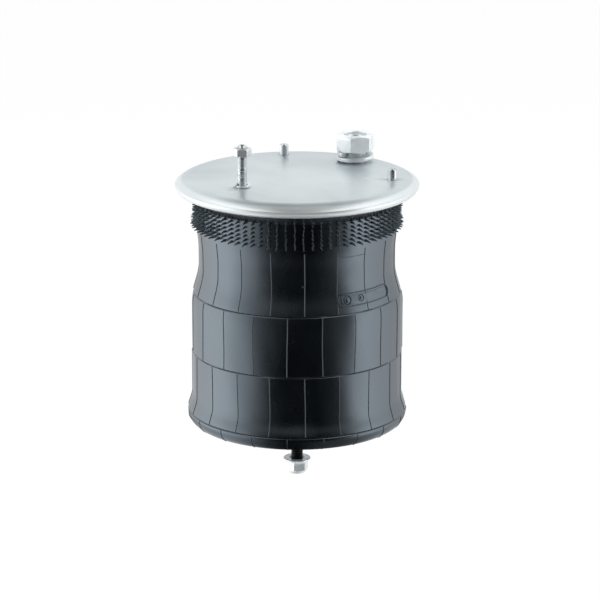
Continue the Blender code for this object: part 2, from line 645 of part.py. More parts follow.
def make_base_nut_insert(model):
    inside = BASE_STUD_RADIUS + THREAD_GAP
    outside = inside + INSERT_WALL
    outline = [(outside, INSERT_TOP), (outside, INSERT_END), (inside, INSERT_END), (inside, INSERT_TOP)]
    model.ring("base_nut_insert", outline, model.nylon, SMALL_STEPS, "piston_carrier")


def make_air_stud(model):
    """A hollow stud with a flange under the plate and an air port down its middle."""
    flange_top = -PLATE_SHEET - GAP
    flange_end = flange_top - WELD_FLANGE_SHEET
    chamfer = AIR_STUD_CHAMFER
    outline = [(AIR_STUD_RADIUS - chamfer, AIR_STUD_TOP), (AIR_STUD_RADIUS, AIR_STUD_TOP - chamfer)]
    outline += [(AIR_STUD_RADIUS, flange_top), (WELD_FLANGE_RADIUS, flange_top)]
    outline += [(WELD_FLANGE_RADIUS, flange_end), (AIR_FEED_RADIUS, flange_end)]
    outline += [(AIR_FEED_RADIUS, AIR_BORE_FLOOR), (AIR_BORE_RADIUS, AIR_BORE_FLOOR)]
    outline += [(AIR_BORE_RADIUS, AIR_STUD_TOP - chamfer), (AIR_BORE_RADIUS + chamfer, AIR_STUD_TOP)]
    stud = model.ring("air_stud", outline, model.bright, SMALL_STEPS)
    stud.location = (AIR_STUD_X, STUD_LINE_Y, 0)


def make_air_nut(model):
    place = (AIR_STUD_X, STUD_LINE_Y, AIR_NUT_BASE)
    nut = nut_blank(model, "air_stud_nut", AIR_NUT_FLATS, AIR_NUT_HEIGHT, place, AIR_NUT_TURN, model.bright)
    bore = AIR_STUD_RADIUS + THREAD_GAP
    model.drill(nut, "air_nut_bore", bore, AIR_NUT_BASE + AIR_NUT_HEIGHT + GAP, AIR_NUT_BASE - GAP, place[:2])


def make_plain_stud(model):
    flange_top = -PLATE_SHEET - GAP
    flange_end = flange_top - PLAIN_FLANGE_SHEET
    outline = rounded([
        (0, PLAIN_STUD_TOP, 0),
        (PLAIN_STUD_FLAT, PLAIN_STUD_TOP, PLAIN_DOME_ROUND),
        (PLAIN_STUD_RADIUS, PLAIN_STUD_TOP - PLAIN_STUD_DOME, PLAIN_DOME_ROUND),
        (PLAIN_STUD_RADIUS, flange_top, 0),
        (PLAIN_FLANGE_RADIUS, flange_top, 0),
        (PLAIN_FLANGE_RADIUS, flange_end, 0),
        (0, flange_end, 0)])
    stud = model.solid("mounting_stud", outline, model.bright)
    stud.location = (PLAIN_STUD_X, STUD_LINE_Y, 0)


def make_plain_nut(model):
    place = (PLAIN_STUD_X, STUD_LINE_Y, PLAIN_NUT_BASE)
    nut = nut_blank(model, "mounting_stud_nut", PLAIN_NUT_FLATS, PLAIN_NUT_HEIGHT, place, PLAIN_NUT_TURN,
                    model.bright)
    bore = PLAIN_STUD_RADIUS + THREAD_GAP
    model.drill(nut, "plain_nut_bore", bore, PLAIN_NUT_BASE + PLAIN_NUT_HEIGHT + GAP, PLAIN_NUT_BASE - GAP,
                place[:2])


def spring_washer(model, name, outer, width, thick, rise, turns, start, place):
    """Flat wire wound in a helix, from its upper end down to the plate."""
    top = GAP + rise + thick
    section = [(outer - width, top), (outer, top), (outer, top - thick), (outer - width, top - thick)]
    steps = round(turns * MEDIUM_STEPS)
    washer = swept(name, section, -turns * 2 * math.pi, steps, -rise, start, model.parts)
    washer.location = (*place, 0)
    return model.own(washer, model.bright)


def make_spring_washers(model):
    rise = AIR_NUT_BASE - 2 * GAP - AIR_WASHER_THICK
    spring_washer(model, "air_stud_washer", AIR_WASHER_OUTER, AIR_WASHER_WIDTH, AIR_WASHER_THICK, rise,
                  AIR_WASHER_TURNS, AIR_WASHER_START, (AIR_STUD_X, STUD_LINE_Y))
    spring_washer(model, "mounting_stud_washer", PLAIN_WASHER_OUTER, PLAIN_WASHER_WIDTH, PLAIN_WASHER_THICK,
                  PLAIN_WASHER_RISE, PLAIN_WASHER_TURNS, PLAIN_WASHER_START, (PLAIN_STUD_X, STUD_LINE_Y))


def make_locating_pins(model):
    """Two short pins that set the plate's angle on the vehicle, riveted from below."""
    head_top = -PLATE_SHEET - GAP
    head_end = head_top - PIN_HEAD_SHEET
    outline = [(0, PIN_TOP), (PIN_RADIUS - PIN_CHAMFER, PIN_TOP), (PIN_RADIUS, PIN_TOP - PIN_CHAMFER)]
    outline += [(PIN_RADIUS, head_top), (PIN_HEAD_RADIUS, head_top)]
    outline += [(PIN_HEAD_RADIUS, head_end), (0, head_end)]
    for name, y in (("locating_pin_rear", PIN_Y), ("locating_pin_side", -PIN_Y)):
        pin = model.solid(name, outline, model.bright)
        pin.location = (PIN_X, y, 0)


def apply_and_shade(model):
    """Turn the modifiers into plain meshes, smooth on the round sides and sharp at the edges."""
    bpy.context.view_layer.update()
    graph = bpy.context.evaluated_depsgraph_get()
    finished = {}
    for piece in model.parts.objects:
        if piece.type == "MESH":
            finished[piece.name] = bpy.data.meshes.new_from_object(piece.evaluated_get(graph))
    for name, mesh in finished.items():
        piece = model.parts.objects[name]
        piece.modifiers.clear()
        piece.data = mesh
        mesh.shade_smooth()
        mesh.set_sharp_from_angle(angle=SHARP_ANGLE)


def main():
    clear_scene()
    model = Model()
    make_top_plate(model)
    make_upper_hoop(model)
    make_sleeve_neck(model)
    make_sleeve_middle(model)
    make_sleeve_lobe(model)
    make_sleeve_inner(model)
    make_lower_hoop(model)
    make_closure_plate(model)
    make_piston(model)
    make_seal(model)
    make_bump_stop(model)
    make_central_stud(model)
    make_hub_bush(model)
    make_clamp_washer(model)
    make_clamp_nut(model)
    make_base_nut(model)
    make_base_nut_insert(model)
    make_air_stud(model)
    make_air_nut(model)
    make_plain_stud(model)
    make_plain_nut(model)
    make_spring_washers(model)
    make_locating_pins(model)
    apply_and_shade(model)


main()
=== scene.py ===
import json
import random
from math import atan, atan2, cos, pi, radians, sin, sqrt, tan

import bmesh
import bpy
import numpy as np
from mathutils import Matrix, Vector

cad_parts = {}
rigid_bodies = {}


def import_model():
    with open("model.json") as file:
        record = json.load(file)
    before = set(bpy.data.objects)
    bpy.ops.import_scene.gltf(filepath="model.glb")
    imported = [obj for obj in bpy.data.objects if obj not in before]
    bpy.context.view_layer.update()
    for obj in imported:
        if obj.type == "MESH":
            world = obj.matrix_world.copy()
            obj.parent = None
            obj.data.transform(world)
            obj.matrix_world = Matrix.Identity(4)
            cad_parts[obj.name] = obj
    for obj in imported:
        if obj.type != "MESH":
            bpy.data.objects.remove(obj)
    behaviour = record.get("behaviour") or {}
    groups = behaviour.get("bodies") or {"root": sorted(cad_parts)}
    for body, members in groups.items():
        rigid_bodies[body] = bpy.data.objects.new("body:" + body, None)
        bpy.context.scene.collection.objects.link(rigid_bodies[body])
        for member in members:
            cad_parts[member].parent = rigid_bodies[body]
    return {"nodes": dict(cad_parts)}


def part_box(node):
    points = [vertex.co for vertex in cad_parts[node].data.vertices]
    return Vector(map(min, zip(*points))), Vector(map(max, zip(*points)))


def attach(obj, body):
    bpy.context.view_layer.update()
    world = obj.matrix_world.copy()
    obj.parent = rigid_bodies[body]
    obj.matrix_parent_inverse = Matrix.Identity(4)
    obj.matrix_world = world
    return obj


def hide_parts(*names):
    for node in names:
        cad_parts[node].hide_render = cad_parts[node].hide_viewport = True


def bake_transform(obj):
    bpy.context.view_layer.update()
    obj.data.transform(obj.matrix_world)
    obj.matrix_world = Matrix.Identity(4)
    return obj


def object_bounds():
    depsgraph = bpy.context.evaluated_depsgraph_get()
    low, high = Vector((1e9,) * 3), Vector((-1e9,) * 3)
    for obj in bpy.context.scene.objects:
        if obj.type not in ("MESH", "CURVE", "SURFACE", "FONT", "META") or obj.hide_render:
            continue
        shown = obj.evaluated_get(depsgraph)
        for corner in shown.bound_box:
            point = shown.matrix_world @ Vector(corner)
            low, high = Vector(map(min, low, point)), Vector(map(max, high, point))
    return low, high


TAU = 2 * pi

# Start from an empty scene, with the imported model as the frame
for thing in list(bpy.data.objects):
    bpy.data.objects.remove(thing, do_unlink=True)
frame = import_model()
CAD_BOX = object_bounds()

# Sizes read from the frame
PLATE_RADIUS, BODY_RADIUS, LOBE_RADIUS, LEG_OUTSIDE, PISTON_RADIUS = (
    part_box(node)[1].x for node in ("top_plate", "sleeve_middle", "sleeve_lobe", "sleeve_inner", "piston"))
PISTON_BASE, PISTON_TOP = (corner.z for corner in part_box("piston"))
LEG_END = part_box("sleeve_inner")[0].z
FOLD_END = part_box("sleeve_lobe")[0].z
BASE_NUT_END, BASE_NUT_TOP = (corner.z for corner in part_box("base_nut"))
BASE_STUD_END, STUD_HEAD_TOP = (corner.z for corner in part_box("central_stud"))
FIRST_LINE = (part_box("sleeve_neck")[0].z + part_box("sleeve_middle")[1].z) / 2
SECOND_LINE = (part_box("sleeve_middle")[0].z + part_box("sleeve_lobe")[1].z) / 2

# Plate and its rolled rim
SHEET = 0.003
GAP = 0.0003
ROLL = 0.0068  # outer radius of the rolled rim
RIM_SPREAD = 0.014  # how far in from the edge the plate starts to bend down
RIM_HIGHLIGHT_FROM = PLATE_RADIUS - 0.0072  # from here out the zinc is painted brighter: a painted highlight on the rolled rim
ROLL_WRAP = radians(116)
BEAD_TUBE = 0.0029
AIR_HOLE = 0.0112  # radii of the holes for the studs and pins
PLAIN_HOLE = 0.0052
PIN_HOLE = 0.0047
UNDER_PLATE = -SHEET - GAP

# Sleeve, outside: radii and heights as in the solid
WALL = 0.006
NECK_RADIUS = BODY_RADIUS - 0.0075
BAND_RADIUS = NECK_RADIUS + 0.0015
BAND_TOP = -0.024
BAND_END = -0.050
NECK_TOP = -0.072
FLARE_TOP = -0.087
FLARE_END = -0.126
FOLD_TUBE = 0.012
FOLD_RADIUS = LOBE_RADIUS - FOLD_TUBE
LOBE_HEIGHT = FOLD_END + FOLD_TUBE
BULGE_TOP = LOBE_HEIGHT + 0.020
THIRD_LINE = -0.2356
LINES = (FIRST_LINE, SECOND_LINE, THIRD_LINE)
LINE_DEPTH = 0.0009  # of the grooves where the tiers of the mould meet
LINE_HALF = 0.00050
SEGMENTS = 19  # of the mould, in each tier of it
SEGMENT_PITCH = TAU / SEGMENTS
SEAM_DEGREES = (4.263, -5.211)  # of the first seam, in odd and in even tiers
SHOULDER = 0.020  # rounding of the piston's top, under the sleeve's leg
PIN_COLUMNS = 74  # blades round the neck, and how they stand
PIN_ROWS = 7
PIN_TOP = -0.0212
PIN_PITCH = 0.0042
PIN_WIDE = 0.00085  # half of a blade's width and of its height, at its root
PIN_HIGH = 0.0015
INSERT_HEIGHT = -0.102  # of the middle of the blank insert plate
PAD_FOOT = -0.0005  # in the rubber, where the pads' edges end
RING_STEPS = 32  # round the small circles of the mould's marks

# The camera stands in front of model angle -135 degrees
FRONT = radians(-135)
CAMERA_DISTANCE = 2.970
CAMERA_HEIGHT = 0.724
CAMERA_PITCH = radians(15.98)
CAMERA_LENS = 186.6
CAMERA_SHIFT = 0.005
PISTON_TRAVEL = 0.16  # down from rest: the floor lies below it
FLOOR_LIGHT = 0.97  # how far the floor shines by itself for the camera
FILL = 0.45  # strength of the white world as a light
WHITE = (1, 1, 1, 1)


def ease(share):
    """Smooth step from 0 to 1, for numbers and arrays."""
    share = np.clip(share, 0.0, 1.0)
    return share * share * (3 - 2 * share)


def rim_fall(share):
    """How far the rim's top has come down across its width."""
    return 1 - (1 - share ** 1.4) ** 0.66


def outward(angle):
    """Level direction away from the axis."""
    return Vector((cos(angle), sin(angle), 0))


def front_angle(degrees):
    """Model angle of a place so many degrees right of the front."""
    return FRONT + radians(degrees)


# Materials

def put(tree, socket, value):
    """Give a node's input a number, a colour or another node's output."""
    if isinstance(value, bpy.types.NodeSocket):
        tree.links.new(value, socket)
    else:
        socket.default_value = value


def add(tree, kind, values=None, **settings):
    """A new node with its settings and with what its inputs get."""
    made = tree.nodes.new(kind)
    for name, value in settings.items():
        setattr(made, name, value)
    for key, value in (values or {}).items():
        put(tree, made.inputs[key], value)
    return made


def calc(tree, operation, *values):
    """The result of a calculation."""
    return add(tree, "ShaderNodeMath", dict(enumerate(values)), operation=operation).outputs["Value"]


def spread(tree, value, start, end, low=0.0, high=1.0, **settings):
    """A value between start and end, spread over low to high."""
    values = {"Value": value, "From Min": start, "From Max": end, "To Min": low, "To Max": high}
    return add(tree, "ShaderNodeMapRange", values, **settings).outputs["Result"]


def ramp(tree, value, stops):
    """A colour ramp over a value, from stops of a position and a colour."""
    node = add(tree, "ShaderNodeValToRGB", {"Fac": value})
    elements = node.color_ramp.elements
    while len(elements) < len(stops):
        elements.new(0.5)
    for element, (position, colour) in zip(elements, stops):
        element.position = position
        element.color = (*colour, 1)
    return node.outputs["Color"]


# Gloss of the moulded rubber: how strong it is, and its blue cast
RUBBER_GLOSS = {"IOR": 1.8, "Specular IOR Level": 1.0, "Specular Tint": (0.74, 0.88, 1.0, 1)}


class Shader:
    """A Principled material whose inputs can be fed by noise and ramps."""

    def __init__(self, name, metallic=0.0):
        self.made = bpy.data.materials.new(name)
        self.made.use_nodes = True
        self.tree = self.made.node_tree
        self.main = self.tree.nodes["Principled BSDF"].inputs
        self.main["Metallic"].default_value = metallic
        self.where = add(self.tree, "ShaderNodeTexCoord").outputs["Object"]
        self.relief = None

    def stretched(self, scale):
        """Object coordinates, stretched along each axis."""
        return add(self.tree, "ShaderNodeMapping", {"Vector": self.where, "Scale": scale}).outputs["Vector"]

    def noise(self, scale, detail=3.0, stretch=(1, 1, 1), distortion=0.0):
        values = {"Vector": self.stretched(stretch), "Scale": scale, "Detail": detail}
        made = add(self.tree, "ShaderNodeTexNoise", {**values, "Distortion": distortion})
        return made.outputs["Fac"]

    def bump(self, source, depth, strength):
        """Add relief of a real depth, on top of the relief that is there."""
        values = {"Height": source, "Distance": depth, "Strength": strength}
        if self.relief:
            values["Normal"] = self.relief
        self.relief = add(self.tree, "ShaderNodeBump", values).outputs["Normal"]
        self.tree.links.new(self.relief, self.main["Normal"])


def material(name, colour, rough, bumps=(), metallic=0.0, rubber=False, cloud=None):
    """A material with one colour, or with two stops of it and a cloud of noise between them.

    The roughness is a number, or noise and its ends. A bump is noise, a depth and a strength.
    """
    shader = Shader(name, metallic)
    if isinstance(rough, tuple):
        rough = spread(shader.tree, shader.noise(*rough[0]), 0.3, 0.7, *rough[1:])
    colour = ramp(shader.tree, shader.noise(*cloud), colour) if cloud else (*colour, 1)
    values = {"Base Color": colour, "Roughness": rough, **(RUBBER_GLOSS if rubber else {})}
    for key, value in values.items():
        put(shader.tree, shader.main[key], value)
    for noise, depth, strength in bumps:
        shader.bump(shader.noise(*noise), depth, strength)
    return shader.made


def plate_zinc():
    """Pressed steel with a cloudy zinc coat and rolling lines, a painted reflection brighter towards the
    centre and a painted highlight on the rolled rim.
    """
    stops = ((0.30, (0.51, 0.57, 0.595)), (0.52, (0.60, 0.665, 0.685)), (0.80, (0.70, 0.74, 0.75)),
             (1.0, (0.69, 0.735, 0.75)))
    shader = Shader("plate_zinc_painted_light", 0.70)
    tree = shader.tree
    flat = {0: shader.stretched((1, 1, 0))}
    out = add(tree, "ShaderNodeVectorMath", flat, operation="LENGTH").outputs["Value"]
    # Painted reflection: the zinc is painted brighter towards the centre and darker towards the edge.
    painted_centre_reflection = spread(tree, out, 0.02, 0.110, 0.10, -0.12)
    # Painted highlight: the rolled rim is painted brighter.
    rim = spread(tree, out, RIM_HIGHLIGHT_FROM, RIM_HIGHLIGHT_FROM + 0.003, 0.0, 0.60)
    shade = shader.noise(9, 4, distortion=0.6)
    for more in (painted_centre_reflection, rim):
        shade = calc(tree, "ADD", shade, more)
    put(tree, shader.main["Base Color"], ramp(tree, shade, stops))
    grain = shader.noise(60, 4, (1, 0.04, 1))
    put(tree, shader.main["Roughness"], spread(tree, grain, 0.3, 0.7, 0.27, 0.36))
    shader.bump(shader.noise(500, 2), 0.00002, 0.25)
    return shader.made


def bright_zinc(name, roughness, metallic):
    """Bright zinc on turned steel, with a faint blue cast and small dull marks."""
    stops = ((0.35, (0.58, 0.62, 0.64)), (0.60, (0.72, 0.76, 0.78)))
    rough = ((220, 3), roughness - 0.05, roughness + 0.10)
    return material(name, stops, rough, (((900, 2), 0.00002, 0.12),), metallic, cloud=(70, 4))


def soft_rubber(name, shade, roughness):
    """The matt rubber of a hidden part."""
    stops = ((0.35, (shade,) * 3), (0.75, (2.2 * shade,) * 3))
    rough = ((90, 3), roughness - 0.06, roughness + 0.08)
    return material(name, stops, rough, (((800, 2), 0.00006, 0.35),), cloud=(50, 4))


# Black moulded rubber with a soft, uneven sheen, fine grain and faint scuffs
RUBBER = material(
    "sleeve_rubber_finish", ((0.35, (0.0006, 0.0012, 0.0016)), (0.75, (0.0018, 0.0031, 0.0038))),
    ((30, 4, (1, 1, 0.35)), 0.21, 0.31), (((900, 2), 0.00006, 0.25), ((60, 3), 0.00025, 0.30)),
    rubber=True, cloud=(16, 5, (1, 1, 1), 0.4))
# The fine raised marks, a little smoother from the mould, and the blades
MARK = material(
    "mould_mark_finish", (0.0040, 0.0062, 0.0072), ((200, 2), 0.28, 0.40),
    (((1200, 2), 0.00004, 0.3),), rubber=True)
# The blades' rubber is painted much lighter than the sleeve's: painted light for their lit faces and against
# the rim's shadow.
PIN_RUBBER_PAINTED_LIGHT = material(
    "vent_pin_painted_light", (0.040, 0.050, 0.055), ((400, 2), 0.36, 0.50),
    (((1500, 2), 0.00004, 0.3),), rubber=True)
ZINC_PAINTED_LIGHT = plate_zinc()
BRIGHT = bright_zinc("bright_zinc_finish", 0.16, 0.55)
PALE_BRIGHT = bright_zinc("pale_zinc_finish", 0.17, 0.26)
DEEP_BRIGHT = bright_zinc("deep_zinc_finish", 0.16, 0.74)
SATIN = bright_zinc("satin_zinc_finish", 0.25, 1.0)
# Black oxide on the threaded stud, worn brighter in patches
BLACK = material(
    "black_steel_finish", ((0.45, (0.012, 0.013, 0.014)), (0.80, (0.060, 0.062, 0.065))),
    ((300, 3), 0.26, 0.44), metallic=0.85, cloud=(120, 4))
STEEL = material(
    "plain_steel_finish", ((0.3, (0.30, 0.29, 0.29)), (0.7, (0.46, 0.46, 0.47))),
    ((260, 3), 0.30, 0.46), metallic=1.0, cloud=(90, 4))
# Glass-filled moulding: near black, satin, with a fine grain and flow marks
PLASTIC = material(
    "piston_plastic_finish", ((0.3, (0.017, 0.018, 0.020)), (0.7, (0.030, 0.031, 0.033))),
    ((120, 3), 0.42, 0.56), (((700, 2), 0.00005, 0.35),), cloud=(14, 5, (1, 1, 0.3), 1.2))
BUMP_RUBBER = soft_rubber("bump_rubber_finish", 0.012, 0.58)
SEAL_RUBBER = soft_rubber("seal_rubber_finish", 0.014, 0.45)
NYLON = material(
    "nylon_finish", ((0.3, (0.60, 0.62, 0.60)), (0.7, (0.72, 0.73, 0.70))), 0.42,
    (((900, 2), 0.00004, 0.3),), cloud=(150, 3))


# Mesh helpers

def placed(name, data):
    """A new object for a mesh, a lamp or a camera."""
    made = bpy.data.objects.new(name, data)
    bpy.context.scene.collection.objects.link(made)
    return made


def new_piece(name, points, faces, finish, sharp=38.0):
    """A closed body from points and faces, smooth apart from its sharp edges."""
    mesh = bpy.data.meshes.new(name)
    mesh.from_pydata([tuple(p) for p in points], [], faces)
    shape = bmesh.new()
    shape.from_mesh(mesh)
    bmesh.ops.remove_doubles(shape, verts=shape.verts, dist=1e-7)
    bmesh.ops.dissolve_degenerate(shape, edges=shape.edges, dist=1e-8)
    bmesh.ops.recalc_face_normals(shape, faces=shape.faces)
    shape.to_mesh(mesh)
    shape.free()
    mesh.shade_smooth()
    mesh.set_sharp_from_angle(angle=radians(sharp))
    mesh.materials.append(finish)
    return placed(name, mesh)


def column_angles(columns):
    return np.linspace(0, TAU, columns, endpoint=False)


def rings_of(rows, columns):
    """Points of each row: a radius and a height, either of which may change with the angle."""
    angles = column_angles(columns)
    rings = []
    for radius, height in rows:
        radius = np.broadcast_to(radius, columns)
        height = np.broadcast_to(height, columns)
        rings.append(np.stack([radius * np.cos(angles), radius * np.sin(angles), height], axis=1))
    return np.array(rings)


def quads(rings, size, loop=False):
    """Faces between rings of points, with a loop also from the last to the first."""
    faces = []
    for ring in range(rings if loop else rings - 1):
        here = ring * size
        there = (ring + 1) % rings * size
        for i in range(size):
            j = (i + 1) % size
            faces.append((here + i, here + j, there + j, there + i))
    return faces


def caps(rings, size):
    """The faces that close the first ring and the last."""
    return [tuple(reversed(range(size))), tuple((rings - 1) * size + i for i in range(size))]


def lathe(name, rows, columns, finish, place=(0, 0, 0), closed=True, sharp=38.0):
    """A turned body. A closed one is a ring, and the other starts and ends on the axis."""
    points = rings_of(rows, columns) + np.array(place)
    return new_piece(name, points.reshape(-1, 3), quads(len(rows), columns, closed), finish, sharp)


def arc(centre, radius, start, end, steps):
    """Rows along an arc in the profile plane."""
    angles = [start + (end - start) * i / steps for i in range(steps + 1)]
    return [(centre[0] + radius * cos(a), centre[1] + radius * sin(a)) for a in angles]


def rounded(corners, steps=5):
    """Rows through corners (radius, height, rounding)."""
    rows = []
    for index, (x, y, radius) in enumerate(corners):
        if radius <= 0:
            rows.append((x, y))
            continue
        here = Vector((x, y))
        before = Vector(corners[index - 1][:2]) - here
        after = Vector(corners[(index + 1) % len(corners)][:2]) - here
        half = before.angle(after) / 2
        reach = min(radius / tan(half), 0.48 * before.length, 0.48 * after.length)
        centre = here + (before.normalized() + after.normalized()).normalized() * reach / cos(half)
        first = here + before.normalized() * reach - centre
        turn = first.angle_signed(here + after.normalized() * reach - centre)
        start = atan2(first.y, first.x)
        rows += arc(centre, reach * tan(half), start, start - turn, steps)
    return rows


def hexagon(columns, flats, turn, corner):
    """Distance from the axis to a hexagon at each angle, with its corners rounded."""
    angles = column_angles(columns)
    apart = np.abs((angles - turn + TAU / 12) % (TAU / 6) - TAU / 12)
    side = flats / 2 / np.cos(TAU / 12 - apart)
    centre = (flats / 2 - corner) / cos(TAU / 12)
    round_ends = atan2(corner * sin(TAU / 12), centre + corner * cos(TAU / 12))
    inside = np.clip(corner ** 2 - (centre * np.sin(apart)) ** 2, 0, None)
    return np.where(apart < round_ends, centre * np.cos(apart) + np.sqrt(inside), side)


def nut_rows(flats, low, high, turn, bore, sink, columns, corner, edge):
    """Rows of a hexagon nut, from the bore's top, over the outside, to the bore's base."""
    radius = hexagon(columns, flats, turn, corner)
    face = flats / 2 - 0.0005
    soft = np.minimum(edge, 0.4 * (radius - face))

    def over(end, sign):
        """Rows from the nut's top (sign 1) or base (-1) over its 30 degree chamfer to its side."""
        start = end - sign * np.maximum(radius - soft - face, 0) * tan(radians(30))
        cut = end - sign * np.maximum(radius - face, 0) * tan(radians(30))
        return cut, [(face - edge, end), (face, end - sign * 0.00006), (radius - soft, start),
                     (radius - 0.25 * soft, cut - sign * 0.35 * soft), (radius, cut - sign * soft)]

    upper, over_top = over(high, 1)
    lower, over_base = over(low, -1)
    side = [(3 * upper + lower) / 4, (upper + lower) / 2, (upper + 3 * lower) / 4]
    return [(bore, high - (sink - bore)), (sink - 0.0002, high - 0.0002),
            (sink + 0.0001, high), *over_top, *((radius, height) for height in side),
            *reversed(over_base), (sink, low), (bore, low + (sink - bore))]


def thread_rows(radius, pitch, depth, top, bottom, columns):
    """Rows down a thread, whose groove winds round."""
    angles = column_angles(columns)
    count = round((top - bottom) / pitch * 8)
    rows = []
    for index in range(count + 1):
        height = top + (bottom - top) * index / count
        phase = (height / pitch - angles / TAU) % 1.0
        groove = np.clip(1.25 - np.abs(phase - 0.5) * 3.1, 0, 1)
        fade = ease(min(top - height, height - bottom) / pitch)
        rows.append((radius - depth * groove * fade, height))
    return rows


def coil(name, outer, width, thick, top, rise, turns, start, finish, place, corner, steps=150):
    """Flat wire with rounded corners, wound down in a helix, with both ends cut square."""
    inner = outer - width
    corners = ((inner, 0), (outer, 0), (outer, -thick), (inner, -thick))
    section = rounded([(r, z, corner) for r, z in corners], 3)
    points = []
    for step in range(steps + 1):
        share = step / steps
        angle = start - turns * TAU * share
        for r, z in section:
            height = top - rise * share + z
            points.append((place[0] + r * cos(angle), place[1] + r * sin(angle), height))
    count = len(section)
    ends = [tuple(range(count)), tuple(steps * count + i for i in reversed(range(count)))]
    return new_piece(name, points, ends + quads(steps + 1, count), finish, 50)


# Where things stand, from the frame

def middle(node):
    """Centre of a node seen from above."""
    low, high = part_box(node)
    return (low.x + high.x) / 2, (low.y + high.y) / 2


AIR_PLACE = middle("air_stud")
PLAIN_PLACE = middle("mounting_stud")
PIN_PLACES = {"rear": middle("locating_pin_rear"), "side": middle("locating_pin_side")}


def sleeve_radius(height):
    """Outer radius of the sleeve from the rim down into the fold, without its mould lines."""
    radius = BAND_RADIUS
    for wider, start, end in ((NECK_RADIUS - BAND_RADIUS, BAND_END, NECK_TOP),
                              (BODY_RADIUS - NECK_RADIUS, FLARE_TOP, FLARE_END),
                              (LOBE_RADIUS - BODY_RADIUS, BULGE_TOP, LOBE_HEIGHT)):
        radius = radius + wider * ease((start - height) / (start - end))
    below = np.clip(LOBE_HEIGHT - height, 0, FOLD_TUBE)
    return radius - FOLD_TUBE + np.sqrt(FOLD_TUBE ** 2 - below ** 2)


# How far the middle of each segment lies in from the round, tier by tier
FLAT_PICK = random.Random(5)
FLATNESS = np.array([
    [FLAT_PICK.uniform(0.00004, 0.00030) for segment in range(SEGMENTS)] for tier in range(4)])


def segment_face(angle, height):
    """The slightly flat face that each segment of the mould leaves between two seams."""
    tier = sum(height < line for line in LINES)
    place = (angle - front_angle(SEAM_DEGREES[tier % 2])) / SEGMENT_PITCH
    index = np.floor(place).astype(int)
    across = 2 * (place - index) - 1
    return FLATNESS[tier][index % SEGMENTS] * (across ** 2 - 1)


def unevenness(angle, height):
    """Flat faces and shallow waves that the moulded rubber keeps, up to about 0.5 mm."""
    wave = 0.00010 * np.sin(5 * angle + 1.3 + 18 * height)
    wave = wave + 0.00008 * np.sin(9 * angle - 0.4 - 40 * height)
    wave = wave + 0.00005 * np.sin(17 * angle + 2.1 + 65 * height)
    wave = wave + segment_face(angle, height)
    return wave * ease((BAND_END - height) / 0.02) * ease((height - LOBE_HEIGHT) / 0.01)


def line_groove(height):
    """How deep the mould lines cut at a height."""
    return sum(LINE_DEPTH * np.exp(-((height - line) / LINE_HALF) ** 2) for line in LINES)


def sleeve_heights():
    """Heights of the sleeve's rows, close together at the mould lines."""
    heights = set(np.arange(BAND_TOP, LOBE_HEIGHT, -0.0020).round(5))
    for line in LINES:
        heights |= set((line + np.arange(-0.0018, 0.0019, 0.0002)).round(5))
    return sorted((h for h in heights if LOBE_HEIGHT < h <= BAND_TOP), reverse=True)


# Pieces of the top

def cut_away(piece, cutter):
    """Cut one body out of another, and drop the cutter."""
    cut = piece.modifiers.new("Cut", "BOOLEAN")
    cut.operation = "DIFFERENCE"
    cut.solver = "EXACT"
    cut.object = cutter
    bpy.context.view_layer.update()
    graph = bpy.context.evaluated_depsgraph_get()
    mesh = bpy.data.meshes.new_from_object(piece.evaluated_get(graph))
    piece.modifiers.clear()
    piece.data = mesh
    bpy.data.objects.remove(cutter, do_unlink=True)


def make_plate():
    """The plate and its rolled rim, with holes for the studs and the locating pins."""
    centre = (PLATE_RADIUS - ROLL, -ROLL)
    flat = PLATE_RADIUS - RIM_SPREAD
    rows = [(0, 0), (0.03, 0), (0.06, 0), (0.09, 0)]
    shares = [(1 - cos(pi * step / 22)) / 2 for step in range(23)]
    rows += [(flat + RIM_SPREAD * share, -ROLL * rim_fall(share)) for share in shares]
    rows += arc(centre, ROLL, 0, -ROLL_WRAP, 18)[1:]
    end = rows[-1]
    sheet_middle = ROLL - SHEET / 2
    lip = (centre[0] + sheet_middle * cos(ROLL_WRAP), centre[1] - sheet_middle * sin(ROLL_WRAP))
    start = atan2(end[1] - lip[1], end[0] - lip[0])
    rows += arc(lip, SHEET / 2, start, start - pi, 6)[1:-1]
    rows += arc(centre, ROLL - SHEET, -ROLL_WRAP, 0, 12)[:-1]
    for step in range(10, -1, -1):
        turn = pi / 2 * step / 10
        rows.append((flat + (RIM_SPREAD - SHEET) * sin(turn), -ROLL + (ROLL - SHEET) * cos(turn)))
    rows += [(0.09, -SHEET), (0.05, -SHEET), (0, -SHEET)]
    plate = lathe("plate_skin", rows, 360, ZINC_PAINTED_LIGHT, closed=False)
    pins = [(place, PIN_HOLE) for place in PIN_PLACES.values()]
    for place, radius in [(AIR_PLACE, AIR_HOLE), (PLAIN_PLACE, PLAIN_HOLE), *pins]:
        outline = [(0, 0.01), (radius, 0.01), (radius, -0.01), (0, -0.01)]
        cut_away(plate, lathe("drill", outline, 64, ZINC_PAINTED_LIGHT, (*place, 0), False))
    mount(plate, "top_plate")


def mount(piece, node, body="top_mount"):
    """A piece that stands in for one CAD node and rides on that node's body."""
    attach(piece, body)
    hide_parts(node)


def turned(node, word, rows, columns, finish, place=(0, 0), body="top_mount",
           closed=True, sharp=38.0):
    """A lathed piece in the place of a CAD node, named after it."""
    mount(lathe(f"{node}_{word}", rows, columns, finish, (*place, 0), closed, sharp), node, body)


def make_nut(node, flats, degrees, bore, sink, columns, finish, place=(0, 0),
             body="top_mount", corner=0.0005, edge=0.0003):
    """A hexagon nut between the heights of its CAD node, turned by so many degrees."""
    low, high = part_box(node)
    rows = nut_rows(flats, low.z, high.z, radians(degrees), bore, sink, columns, corner, edge)
    turned(node, "cut", rows, columns, finish, place, body, sharp=30)


